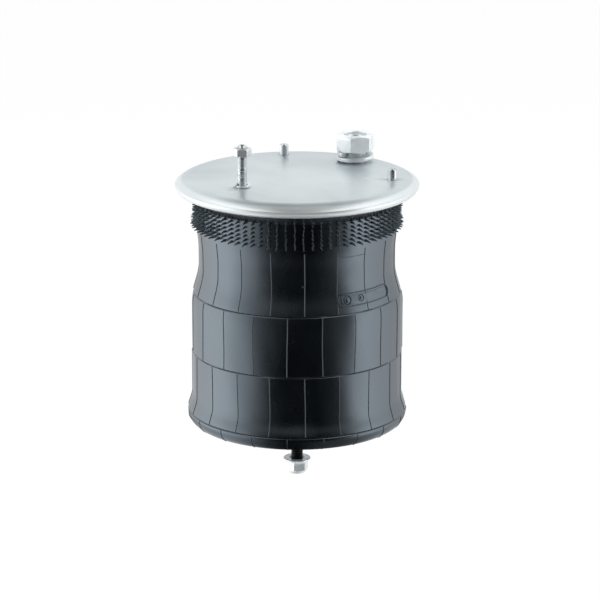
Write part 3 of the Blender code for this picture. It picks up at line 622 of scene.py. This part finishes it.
def make_air_stud():
    """Hollow M22 stud: threaded outside, with its air port down the middle."""
    low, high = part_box("air_stud")
    columns = 120
    radius = 0.011
    head, port, throat = 0.0135, 0.0065, 0.004
    rows = [(0.0068, high.z - 0.0010), (0.0078, high.z - 0.0002), (0.0081, high.z), (0.0096, high.z),
            (0.0099, high.z - 0.0002), (radius - 0.0002, high.z - 0.0013)]
    rows += thread_rows(radius - 0.0001, 0.0015, 0.0009, high.z - 0.0015, 0.002, columns)
    rows += rounded([(radius, 0.001, 0), (radius, UNDER_PLATE, 0), (head, UNDER_PLATE, 0.0004),
                     (head, low.z, 0.0006), (throat, low.z, 0.0003), (throat, 0.0030, 0.0002),
                     (port, 0.0042, 0.0004)], 4)
    rows += [(port, 0.010), (port, 0.016)]
    turned("air_stud", "turned", rows, columns, BRIGHT, AIR_PLACE)


def make_mounting_stud():
    """M10 stud: plain shank below, thread above, domed end."""
    low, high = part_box("mounting_stud")
    columns = 96
    top = high.z
    rows = [(0, top), (0.0012, top - 0.0001), (0.0024, top - 0.0004), (0.0034, top - 0.0010),
            (0.0041, top - 0.0018), (0.0045, top - 0.0026)]
    rows += thread_rows(0.0049, 0.0015, 0.0007, top - 0.003, 0.0185, columns)
    rows += rounded([(0.0048, 0.0180, 0.0002), (0.0046, 0.0165, 0.0003), (0.0046, 0.0125, 0.0003),
                     (0.0043, 0.0118, 0.0002), (0.0043, 0.0108, 0.0002),
                     (0.0047, 0.0100, 0.0003), (0.0047, -SHEET, 0), (0.0047, UNDER_PLATE, 0),
                     (0.0100, UNDER_PLATE, 0.0004), (0.0100, low.z, 0.0006)], 3)
    rows += [(0, low.z)]
    turned("mounting_stud", "turned", rows, columns, SATIN, PLAIN_PLACE, closed=False)


def make_spring_washers():
    """Both wound washers, each under the nut of its stud."""
    for stud, place, outer, width, thick, turns, start, corner in (
            ("air_stud", AIR_PLACE, 0.0183, 0.0065, 0.0038, 1.2, 175, 0.0004),
            ("mounting_stud", PLAIN_PLACE, 0.0079, 0.0026, 0.0022, 0.97, 170, 0.0003)):
        low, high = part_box(f"{stud}_washer")
        washer = coil(f"{stud}_washer_wound", outer, width, thick, high.z, high.z - low.z - thick, turns,
                      radians(start), BRIGHT, place, corner)
        mount(washer, f"{stud}_washer")


def make_locating_pins():
    for side, place in PIN_PLACES.items():
        low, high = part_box(f"locating_pin_{side}")
        rows = [(0, high.z), (0.0034, high.z)]
        rows += rounded([(0.0036, high.z, 0.0003), (0.0045, high.z - 0.0009, 0.0004),
                         (0.0045, UNDER_PLATE, 0.0002), (0.0075, UNDER_PLATE, 0.0004),
                         (0.0075, low.z, 0.0005)], 4)[1:]
        rows += [(0, low.z)]
        turned(f"locating_pin_{side}", "turned", rows, 72, SATIN, place, closed=False)


# The rubber sleeve

def make_sleeve():
    """The sleeve from its upper bead to the fold, in one skin."""
    columns = 20 * SEGMENTS
    angles = column_angles(columns)
    bead = (PLATE_RADIUS - ROLL, -ROLL)
    rows = arc(bead, BEAD_TUBE, radians(205), radians(-118), 30)
    for height in sleeve_heights():
        radius = sleeve_radius(height) - line_groove(height)
        rows.append((radius + unevenness(angles, height), height))
    rows += arc((FOLD_RADIUS, LOBE_HEIGHT), FOLD_TUBE, 0, -pi, 22)
    rows += [(PISTON_RADIUS + GAP, LEG_END - GAP), (PISTON_RADIUS + GAP + WALL, LEG_END - GAP)]
    rows += arc((FOLD_RADIUS, LOBE_HEIGHT), FOLD_TUBE - WALL, -pi, 0, 12)
    inside = [h for h in sleeve_heights() if h > LOBE_HEIGHT + 0.003][::-6]
    rows += [(float(sleeve_radius(h)) - WALL, h) for h in inside]
    sleeve = lathe("sleeve_skin", rows, columns, RUBBER)
    bend_with_sleeve(sleeve)
    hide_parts("sleeve_neck", "sleeve_middle", "sleeve_lobe")


def sleeve_point(angle, height, lift):
    """A point on the sleeve's outside, lifted off it by a small height."""
    slope = (sleeve_radius(height + 0.001) - sleeve_radius(height - 0.001)) / 0.002
    lean = atan(slope)
    radius = sleeve_radius(height) + unevenness(angle, height) + lift * cos(lean)
    return Vector((radius * cos(angle), radius * sin(angle), height - lift * sin(lean)))


def raised_line(route, width, height, closed=False):
    """Points and faces of a raised line: route gives angles and heights on the sleeve."""
    count = len(route)
    points = []
    foot = -0.0006  # in the rubber, where the line's sides start
    shape = ((-0.5, foot), (-0.5, 0.0), (-0.25, 0.8), (0.0, 1.0), (0.25, 0.8), (0.5, 0.0), (0.5, foot))
    for index, (angle, z) in enumerate(route):
        before = route[index - 1 if closed else max(index - 1, 0)]
        after = route[(index + 1) % count if closed else min(index + 1, count - 1)]
        along = sleeve_point(*after, 0) - sleeve_point(*before, 0)
        across = along.cross(outward(angle)).normalized()
        for offset, lift in shape:
            rise = lift if lift < 0 else lift * height
            points.append(sleeve_point(angle, z, rise) + across * offset * width)
    size = len(shape)
    return points, quads(count, size, closed) + ([] if closed else caps(count, size))


def joined(name, parts, finish, sharp=50):
    """One piece from several sets of points and faces."""
    points = []
    faces = []
    for part_points, part_faces in parts:
        base = len(points)
        points += part_points
        faces += [tuple(base + i for i in face) for face in part_faces]
    return new_piece(name, points, faces, finish, sharp)


def bend_with_sleeve(piece):
    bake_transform(piece)


def make_seams():
    """Upright lines that the mould's segments leave: every second tier is half a pitch round."""
    pick = random.Random(7)
    odd, even = SEAM_DEGREES
    tiers = ((BAND_END - 0.003, FIRST_LINE + 0.001, odd), (FIRST_LINE - 0.001, SECOND_LINE + 0.001, even),
             (SECOND_LINE - 0.001, THIRD_LINE + 0.001, odd),
             (THIRD_LINE - 0.0008, LOBE_HEIGHT - 0.0112, even))
    parts = []
    for top, bottom, first in tiers:
        for index in range(SEGMENTS):
            start = front_angle(first) + index * SEGMENT_PITCH
            sway = pick.uniform(0.0002, 0.0006)
            phase = pick.uniform(0, TAU)
            count = max(3, int((top - bottom) / 0.0012))
            heights = [top + (bottom - top) * step / count for step in range(count + 1)]
            route = [(start + sway / BODY_RADIUS * sin(phase + 70 * z), z) for z in heights]
            parts.append(raised_line(route, 0.0010, 0.00048))
    bend_with_sleeve(joined("sleeve_mould_seams", parts, MARK))


def stadium(level, start, end, height):
    """Angles and heights round a long rounded outline on the sleeve."""
    half = height / 2
    cap = half / BODY_RADIUS
    left = front_angle(start) + cap
    right = front_angle(end) - cap
    route = []
    for near, far, side in ((left, right, 1), (right, left, -1)):
        route += [(near + (far - near) * step / 30, level + side * half) for step in range(31)]
        for step in range(1, 12):
            turn = side * pi / 2 - pi * step / 12
            route.append((far + cap * cos(turn), level + half * sin(turn)))
    return route


def ring_route(degrees, height, radius):
    """A small circle on the sleeve."""
    angle = front_angle(degrees)
    turns = [TAU * step / RING_STEPS for step in range(RING_STEPS)]
    return [(angle + radius / BODY_RADIUS * cos(a), height + radius * sin(a)) for a in turns]


def blank_pad(degrees, height, radius, lift):
    """A shallow round pad with a soft edge, on the sleeve."""
    points = [sleeve_point(front_angle(degrees), height, lift)]
    for share, rise in ((0.8, lift), (0.95, 0.7 * lift), (1.0, PAD_FOOT)):
        points += [sleeve_point(*place, rise) for place in ring_route(degrees, height, share * radius)]
    faces = []
    for step in range(RING_STEPS):
        beside = (step + 1) % RING_STEPS
        faces.append((0, 1 + step, 1 + beside))
        for here in (1, 1 + RING_STEPS):
            there = here + RING_STEPS
            faces.append((here + step, there + step, there + beside, here + beside))
    faces.append(tuple(1 + 2 * RING_STEPS + step for step in range(RING_STEPS)))
    return points, faces


def long_pad(level, start, end, height, lift):
    """A shallow long pad with rounded ends and a soft edge, on the sleeve."""
    half = height / 2
    left = front_angle(start) * BODY_RADIUS
    right = front_angle(end) * BODY_RADIUS
    steps = 60
    levels = ((-1.0, PAD_FOOT), (-0.93, 0.7 * lift), (-0.80, lift), (-0.40, lift), (0.0, lift), (0.40, lift),
              (0.80, lift), (0.93, 0.7 * lift), (1.0, PAD_FOOT))
    points = []
    for step in range(steps + 1):
        along = left + (right - left) * (1 - cos(pi * step / steps)) / 2
        from_end = min(along - left, right - along, half)
        reach = sqrt(max(half ** 2 - (half - from_end) ** 2, 1e-9))
        edge = ease(from_end / 0.0006)
        for share, rise in levels:
            lifted = rise * edge + PAD_FOOT * (1 - edge)
            points.append(sleeve_point(along / BODY_RADIUS, level + share * reach, lifted))
    faces = []
    size = len(levels)
    for here in range(0, steps * size, size):
        there = here + size
        faces += [(here + row, here + row + 1, there + row + 1, there + row) for row in range(size - 1)]
        faces.append((here, there, there + size - 1, there - 1))
    faces.append(tuple(range(size)))
    faces.append(tuple(steps * size + row for row in reversed(range(size))))
    return points, faces


def make_mould_marks():
    """The frame of the mould's blank insert plate, its two round inserts and small marks."""
    parts = [raised_line(stadium(INSERT_HEIGHT, 23.5, 62, 0.012), 0.0013, 0.0012, True)]
    parts.append(long_pad(INSERT_HEIGHT, 25.0, 60.5, 0.0092, 0.0004))
    for degrees, radius, width, rise in ((29.4, 0.0040, 0.0011, 0.0013), (38.5, 0.0031, 0.0009, 0.0010)):
        parts.append(raised_line(ring_route(degrees, INSERT_HEIGHT, radius), width, rise, True))
    parts.append(blank_pad(29.4, INSERT_HEIGHT, 0.0024, 0.0010))
    parts.append(blank_pad(38.5, INSERT_HEIGHT, 0.0017, 0.0009))
    parts.append(blank_pad(3.3, -0.086, 0.0009, 0.0005))
    short_line = [(front_angle(23 + 19.6 * step / 20), -0.0595) for step in range(21)]
    parts.append(raised_line(short_line, 0.0008, 0.0004))
    bend_with_sleeve(joined("sleeve_mould_marks", parts, MARK))


def vent_pin(angle, height, length, droop, side):
    """A thin upright blade of rubber that bends down towards its tip."""
    out = outward(angle)
    across = Vector((-sin(angle), cos(angle), 0))
    up = Vector((0, 0, 1))
    base = out * (BAND_RADIUS - 0.0008) + up * height
    sides = 8
    points = []
    shares = (0.0, 0.16, 0.40, 0.65, 0.86, 0.97)
    for share in shares:
        bend = share ** 2
        centre = base + out * (length * share) - up * droop * length * bend + across * side * length * bend
        wide = PIN_WIDE * (1 - 0.60 * share)
        high = PIN_HIGH * (1 - 0.70 * share ** 1.5)
        for i in range(sides):
            turn = TAU * i / sides
            points.append(centre + across * cos(turn) * wide + up * sin(turn) * high)
    points.append(base + out * length - up * droop * length + across * side * length)
    tip = len(points) - 1
    faces = quads(len(shares), sides)
    last = tip - sides
    faces += [(last + i, last + (i + 1) % sides, tip) for i in range(sides)]
    faces.append(tuple(reversed(range(sides))))
    return points, faces


def make_vent_pins():
    """Rows of blades round the neck, left by the mould's vents and never trimmed."""
    pick = random.Random(11)
    parts = []
    for row in range(PIN_ROWS):
        for column in range(PIN_COLUMNS):
            angle = TAU * column / PIN_COLUMNS + pick.uniform(-0.004, 0.004)
            height = PIN_TOP - row * PIN_PITCH + pick.uniform(-0.0003, 0.0003)
            length = pick.uniform(0.0054, 0.0066) if row < PIN_ROWS - 2 else pick.uniform(0.0066, 0.0078)
            droop = pick.uniform(0.10, 0.24)
            side = pick.uniform(-0.10, 0.10)
            parts.append(vent_pin(angle, height, length, droop, side))
    # The blades' lighter colour is painted light.
    pins = joined("sleeve_vent_pins", parts, PIN_RUBBER_PAINTED_LIGHT, 60)
    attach(pins, "top_mount")


def make_sleeve_leg():
    """The leg of the sleeve that lies on the piston, up to its lower bead."""
    bead_tube = 0.0047
    bead = (PISTON_RADIUS * 19 / 28, PISTON_TOP + GAP + bead_tube)
    shoulder = (PISTON_RADIUS - SHOULDER, PISTON_TOP - SHOULDER)
    rows = arc(bead, bead_tube, radians(-70), radians(-345), 26)
    rows += arc(shoulder, SHOULDER + GAP + WALL, pi / 2, 0, 16)
    straight = [shoulder[1] + (LEG_END - shoulder[1]) * step / 30 for step in range(1, 31)]
    rows += [(LEG_OUTSIDE, h) for h in straight]
    rows += [(PISTON_RADIUS + GAP, h) for h in reversed(straight)]
    rows += arc(shoulder, SHOULDER + GAP, 0, pi / 2, 16)
    leg = lathe("sleeve_leg_skin", rows, 240, RUBBER)
    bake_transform(leg)
    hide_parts("sleeve_inner")


# The piston and what hangs under it

def pocket_cutter(near, far, start, end, top, low, rounding, draft):
    """Points and faces of one pocket: a wedge with rounded corners that narrows upwards."""
    points = []
    levels = ((low, -draft), (top + 0.004, draft), (top + 0.0012, draft + 0.0012), (top, draft + 0.004))
    for height, inset in levels:
        first = near + inset
        last = far - inset
        outline = []
        for radius, angle, begin, finish in (
                (first, start, pi, 1.5 * pi), (last, start, 1.5 * pi, TAU),
                (last, end, 0, pi / 2), (first, end, pi / 2, pi)):
            centre_r = radius + (-rounding if radius == last else rounding)
            centre_a = angle + (1 if angle == start else -1) * (rounding + inset) / centre_r
            for step in range(5):
                swing = begin + (finish - begin) * step / 4
                aside = rounding * sin(swing) / centre_r
                outline.append((centre_r + rounding * cos(swing), centre_a + aside))
        for index, (r, a) in enumerate(outline):
            next_r, next_a = outline[(index + 1) % len(outline)]
            parts = 6 if abs(next_a - a) * r > 0.004 else 1
            for k in range(parts):
                out = r + (next_r - r) * k / parts
                turn = a + (next_a - a) * k / parts
                points.append(Vector((out * cos(turn), out * sin(turn), height)))
    count = len(points) // len(levels)
    return points, caps(len(levels), count) + quads(len(levels), count)


def make_piston():
    """The piston moulding with the pockets that leave its ribs and rings."""
    hub = 0.024
    hub_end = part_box("clamp_washer")[1].z + GAP
    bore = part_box("hub_bush")[1].x + GAP
    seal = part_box("piston_seal")
    groove_in = seal[1].x - 0.0040 - GAP
    groove_out = seal[1].x + GAP
    groove_end = seal[0].z - GAP
    rows = rounded([
        (PISTON_RADIUS, PISTON_BASE, 0.0020), (hub, PISTON_BASE, 0.0008),
        (hub, hub_end, 0.0010), (bore, hub_end, 0.0004), (bore, PISTON_TOP, 0.0004)], 4)
    rows += [(groove_in, PISTON_TOP), (groove_in, groove_end), (groove_out, groove_end),
             (groove_out, PISTON_TOP)]
    rows += arc((PISTON_RADIUS - SHOULDER, PISTON_TOP - SHOULDER), SHOULDER, pi / 2, 0, 16)
    piston = lathe("piston_moulding_ribbed", rows, 288, PLASTIC)
    ring_radius = PISTON_RADIUS * 13 / 21
    rib = 0.0016
    parts = []
    for near, far, count, depth in ((ring_radius + 0.002, PISTON_RADIUS - 0.005, 16, 0.019),
                                    (hub, ring_radius - 0.002, 8, 0.009)):
        pitch = TAU / count
        half = rib / ((near + far) / 2)
        for index in range(count):
            parts.append(pocket_cutter(near, far, index * pitch + half, (index + 1) * pitch - half,
                                       PISTON_TOP - depth, PISTON_BASE - 0.004, 0.0022, 0.0004))
    cut_away(piston, joined("pockets", parts, PLASTIC))
    piston.data.shade_smooth()
    piston.data.set_sharp_from_angle(angle=radians(32))
    mount(piston, "piston", "piston_group")


def make_central_stud():
    """The long M12 stud with its round head, threaded over its lower end."""
    columns = 96
    radius = 0.006
    head = 0.013
    seat = STUD_HEAD_TOP - 0.006
    rows = [(0, STUD_HEAD_TOP)]
    rows += rounded([(head, STUD_HEAD_TOP, 0.002), (head, seat, 0.0003), (radius, seat, 0.0003)], 4)
    thread_top = -0.2365
    rows += [(radius, height) for height in (-0.15, -0.20, thread_top + 0.001)]
    rows += thread_rows(radius - 0.00005, 0.00175, 0.0010, thread_top, BASE_STUD_END + 0.0006, columns)
    rows += [(0.0051, BASE_STUD_END + 0.0001), (0.0046, BASE_STUD_END), (0, BASE_STUD_END)]
    turned("central_stud", "threaded", rows, columns, BLACK, body="piston_group",
           closed=False)


def make_clamp_parts():
    """The washer and nut that hold the closure plate down."""
    low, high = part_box("clamp_washer")
    bore = 0.0064
    rows = rounded([(high.x, high.z, 0.0004), (high.x, low.z, 0.0006), (bore, low.z, 0.0003),
                    (bore, high.z, 0.0002)], 4)
    turned("clamp_washer", "turned", rows, 120, ZINC_PAINTED_LIGHT, body="piston_group")
    make_nut("clamp_nut", 0.019, 0, 0.0063, 0.0069, 240, ZINC_PAINTED_LIGHT, body="piston_group")


def make_base_nut():
    """A flanged hexagon nut with a domed collar over its nylon insert."""
    columns = 360
    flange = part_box("base_nut")[1].x
    top = BASE_NUT_TOP
    end = BASE_NUT_END
    low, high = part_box("base_nut_insert")
    bore = 0.0063
    sink = 0.0077  # the countersink at the nut's top
    barrel = 0.0114  # radius that the hexagon's corners are turned to
    crown = 0.0097
    edge = 0.0028
    six = np.minimum(hexagon(columns, 0.020, radians(30), 0.0006), barrel)
    flange_end = top - 0.0012
    hex_end = flange_end - 0.0104
    crown_top = hex_end - 0.0012
    arris = hex_end - 0.0012 * (barrel - six) / (barrel - crown)
    rows = [(bore, top - 0.0021), (bore + 0.0001, top - 0.0019), (sink - 0.0002, top - 0.0002),
            (sink + 0.0001, top)]
    rows += rounded([(flange - 0.0012, top, 0), (flange, top, 0.0005), (flange, flange_end, 0.0005),
                     (flange - 0.0008, flange_end - 0.0005, 0)], 4)
    rows += [(six + 0.0012, flange_end - 0.0011), (six + 0.0004, flange_end - 0.0018),
             (six, flange_end - 0.0026), (six, flange_end - 0.0050), (six, (flange_end + arris) / 2),
             (six, arris + 0.0012), (six, arris + 0.0002), (six - 0.0002, arris - 0.0002),
             (crown + 0.0001, crown_top), (crown - 0.00005, crown_top - 0.0004)]
    rows += arc((crown - 0.0030, end + edge), edge, radians(4), radians(-86), 12)
    rows += [(bore + 0.0004, end), (bore, end + 0.0004), (bore, low.z - GAP), (high.x + GAP, low.z - GAP),
             (high.x + GAP, high.z + GAP), (bore, high.z + GAP)]
    turned("base_nut", "cut", rows, columns, BRIGHT, body="piston_group", sharp=32)
    corners = ((high.x, high.z), (high.x, low.z), (bore, low.z), (bore, high.z))
    rows = rounded([(r, z, 0.0003) for r, z in corners], 3)
    turned("base_nut_insert", "turned", rows, 96, NYLON, body="piston_group")


def finish_hidden_nodes():
    """CAD solids that stay as they are get finishes of their own."""
    finishes = {"upper_bead_hoop": STEEL, "lower_bead_hoop": STEEL, "closure_plate": ZINC_PAINTED_LIGHT,
                "piston_seal": SEAL_RUBBER, "bump_stop": BUMP_RUBBER, "hub_bush": STEEL}
    for name, finish in finishes.items():
        mesh = frame["nodes"][name].data
        mesh.materials.clear()
        mesh.materials.append(finish)


# The studio

def make_camera():
    camera = bpy.data.cameras.new("camera")
    camera.lens = CAMERA_LENS
    camera.sensor_width = 36
    camera.shift_x = CAMERA_SHIFT
    camera.clip_end = 100
    stand = placed("camera", camera)
    stand.location = (CAMERA_DISTANCE * cos(FRONT), CAMERA_DISTANCE * sin(FRONT), CAMERA_HEIGHT)
    level = Vector((-cos(FRONT), -sin(FRONT), 0)) * cos(CAMERA_PITCH)
    stand.rotation_euler = (level - Vector((0, 0, sin(CAMERA_PITCH)))).to_track_quat("-Z", "Y").to_euler()
    bpy.context.scene.camera = stand


def make_world():
    """White for the camera and for reflections, and a plain soft fill for everything else."""
    world = bpy.data.worlds.new("studio")
    bpy.context.scene.world = world
    world.use_nodes = True
    tree = world.node_tree
    tree.nodes.clear()
    path = add(tree, "ShaderNodeLightPath").outputs
    seen = path["Is Camera Ray"]
    for ray in ("Is Glossy Ray", "Is Transmission Ray"):
        seen = calc(tree, "MAXIMUM", seen, path[ray])
    strength = spread(tree, seen, 0.0, 1.0, FILL, 1.0)
    light = add(tree, "ShaderNodeBackground", {"Color": WHITE, "Strength": strength}).outputs["Background"]
    add(tree, "ShaderNodeOutputWorld", {"Surface": light})


def make_lamp(name, degrees, elevation, distance, size, power):
    """A soft lamp that faces the object, so many degrees to the right of the front."""
    lamp = bpy.data.lights.new(name, "AREA")
    lamp.shape = "RECTANGLE"
    lamp.size = size
    lamp.size_y = size
    lamp.energy = power
    stand = placed(name, lamp)
    angle = front_angle(degrees)
    rise = radians(elevation)
    away = Vector((cos(angle) * cos(rise), sin(angle) * cos(rise), sin(rise)))
    stand.location = away * distance + Vector((0, 0, -0.1))
    stand.rotation_euler = (-away).to_track_quat("-Z", "Y").to_euler()
    stand.visible_glossy = False


def only_reflections(card):
    """Turn a card's own +X to the front, and let nothing but reflections see it."""
    card.rotation_euler = (0, 0, FRONT)
    card.visible_camera = False
    card.visible_diffuse = False
    card.visible_shadow = False
    card.visible_transmission = False


def make_reflection_dome():
    """What the gloss shows: bright boxes at both sides, a dark gap in front, and a pale back."""
    rows = arc((0, 0), 6.0, pi / 2, -pi / 2, 24)
    only_reflections(lathe("reflection_dome", rows, 48, card_material(), closed=False))


# Brightness round the object at the height of the sleeve's reflections: degrees and strength
SIDE_BRIGHTNESS = (
    (-180, 0.85), (-158, 0.88), (-140, 1.10), (-125, 1.50), (-104, 1.95), (-86, 2.00), (-68, 1.35),
    (-52, 0.85), (-42, 0.30), (-32, 0.06), (-20, 0.0), (26, 0.0), (40, 0.06), (52, 0.14), (60, 0.45),
    (65, 1.45), (76, 1.80), (94, 1.45), (114, 1.15), (140, 0.78), (160, 0.78), (180, 0.85))
# Brightness just above it, where the flat plate looks from a low camera
MIDDLE_BRIGHTNESS = (
    (-180, 0.85), (-130, 0.92), (-90, 1.00), (-62, 0.90), (-48, 0.60), (-34, 0.08), (-20, 0.0), (26, 0.0),
    (40, 0.06), (54, 0.30), (66, 0.90), (90, 0.96), (130, 0.90), (180, 0.85))
# Brightness higher up, where the rim looks
UPPER_BRIGHTNESS = (
    (-180, 0.92), (-130, 0.92), (-90, 0.72), (-46, 0.84), (-20, 0.52), (0, 0.46), (20, 0.50), (46, 0.74),
    (90, 0.74), (130, 0.92), (180, 0.92))
# Brightness below it: the floor, in the object's shade in front
LOWER_BRIGHTNESS = ((-180, 0.90), (-58, 0.90), (-34, 0.32), (34, 0.32), (58, 0.90), (180, 0.90))
STRONGEST = 2.2


def grey(strength):
    """The colour that stands for a brightness, as a share of the strongest."""
    return (strength / STRONGEST,) * 3


def grey_ramp(tree, turn, stops):
    """A grey ramp over the angle round the object."""
    return ramp(tree, turn, [((degrees + 180) / 360, grey(strength)) for degrees, strength in stops])


def bare_material(name):
    """A material without nodes, whose light the renderer doesn't take for a lamp."""
    made = bpy.data.materials.new(name)
    made.use_nodes = True
    made.cycles.emission_sampling = "NONE"
    made.node_tree.nodes.clear()
    return made, made.node_tree


def card_tree(name):
    """A bare material, the place on a card and the angle round the object."""
    made, tree = bare_material(name)
    where = add(tree, "ShaderNodeTexCoord").outputs["Object"]
    place = add(tree, "ShaderNodeSeparateXYZ", {"Vector": where}).outputs
    angle = calc(tree, "ARCTAN2", place["Y"], place["X"])
    return made, tree, place, spread(tree, angle, -pi, pi)


def light_of(tree, colour):
    """Give a card its light."""
    light = add(tree, "ShaderNodeEmission", {"Color": colour, "Strength": STRONGEST}).outputs["Emission"]
    add(tree, "ShaderNodeOutputMaterial", {"Surface": light})


def card_material():
    """Light of the dome, by direction."""
    made, tree, place, turn = card_tree("reflection_light")
    aside = calc(tree, "ABSOLUTE", place["Y"])
    lower, side, middle_up, upper = [grey_ramp(tree, turn, stops) for stops in (
        LOWER_BRIGHTNESS, SIDE_BRIGHTNESS, MIDDLE_BRIGHTNESS, UPPER_BRIGHTNESS)]

    def blended(first, second, low, high, along=place["Z"]):
        """Pass from the first to the second between two places along the dome."""
        share = spread(tree, along, low, high, interpolation_type="SMOOTHSTEP")
        values = {"Factor": share, "A": first, "B": second}
        return add(tree, "ShaderNodeMix", values, data_type="RGBA").outputs["Result"]

    light = blended(lower, side, -4.4, -3.0)
    light = blended(light, middle_up, 0.7, 1.5)
    light = blended(light, upper, 1.8, 2.5)
    strip = blended((*grey(0.0), 1), (*grey(1.40), 1), 1.2, 2.6, aside)
    light_of(tree, blended(light, strip, 3.5, 4.5))
    return made


# Brightness of the floor close under the fold: in the object's shade in front and behind
SHADE_BRIGHTNESS = (
    (-180, 0.03), (-120, 0.40), (-90, 1.00), (-56, 1.10), (-44, 0.80), (-33, 0.42), (-22, 0.12),
    (-12, 0.03), (0, 0.0), (12, 0.08), (22, 0.14), (33, 0.16), (44, 0.24), (54, 0.50), (70, 0.80),
    (90, 0.90), (120, 0.40), (180, 0.03))


def make_shade_card():
    """What the underside of the fold shows: the partly shaded floor close below it."""
    made, tree, place, turn = card_tree("shade_light")
    light_of(tree, grey_ramp(tree, turn, SHADE_BRIGHTNESS))
    height = BASE_NUT_TOP + 0.006
    inner = 0.035
    outer = 0.200
    rows = [(inner, height), (outer, height), (outer, height - 0.0005), (inner, height - 0.0005)]
    only_reflections(lathe("shade_card", rows, 96, made))


def make_floor():
    """A plain pale floor, almost white to the camera, with the object's soft shadow."""
    made, tree = bare_material("floor_white")
    matt = add(tree, "ShaderNodeBsdfDiffuse", {"Color": (0.85, 0.85, 0.85, 1)}).outputs["BSDF"]
    light = add(tree, "ShaderNodeEmission", {"Color": WHITE, "Strength": 1.0}).outputs["Emission"]
    seen = add(tree, "ShaderNodeLightPath").outputs["Is Camera Ray"]
    share = calc(tree, "MULTIPLY", seen, FLOOR_LIGHT)
    mix = add(tree, "ShaderNodeMixShader", {"Fac": share, 1: matt, 2: light}).outputs["Shader"]
    add(tree, "ShaderNodeOutputMaterial", {"Surface": mix})
    reach = 14.0
    mesh = bpy.data.meshes.new("floor")
    corners = ((-1, -1), (1, -1), (1, 1), (-1, 1))
    mesh.from_pydata([(x * reach, y * reach, 0) for x, y in corners], [], [(0, 1, 2, 3)])
    mesh.materials.append(made)
    floor = placed("floor", mesh)
    floor.location = (0, 0, CAD_BOX[0].z - PISTON_TRAVEL - 0.0004)
    floor.visible_glossy = False


make_plate()
make_air_stud()
make_nut("air_stud_nut", 0.034, 31, 0.0113, 0.0121, 360, PALE_BRIGHT, AIR_PLACE, corner=0.0011, edge=0.0005)
make_mounting_stud()
make_nut("mounting_stud_nut", 0.016, 15, 0.0052, 0.0058, 240, DEEP_BRIGHT, PLAIN_PLACE)
make_spring_washers()
make_locating_pins()
make_sleeve()
make_seams()
make_mould_marks()
make_vent_pins()
make_sleeve_leg()
make_piston()
make_central_stud()
make_clamp_parts()
make_base_nut()
finish_hidden_nodes()

make_camera()
make_world()
make_lamp("left_lamp", -90, 12, 2.4, 1.8, 60)
make_lamp("right_lamp", 90, 12, 2.4, 1.8, 50)
make_lamp("top_lamp", 160, 62, 2.4, 2.0, 58)
make_lamp("front_lamp", 6, 14, 2.6, 1.6, 16)
make_reflection_dome()
make_shade_card()
make_floor()
bpy.context.scene.view_settings.view_transform = "Standard"
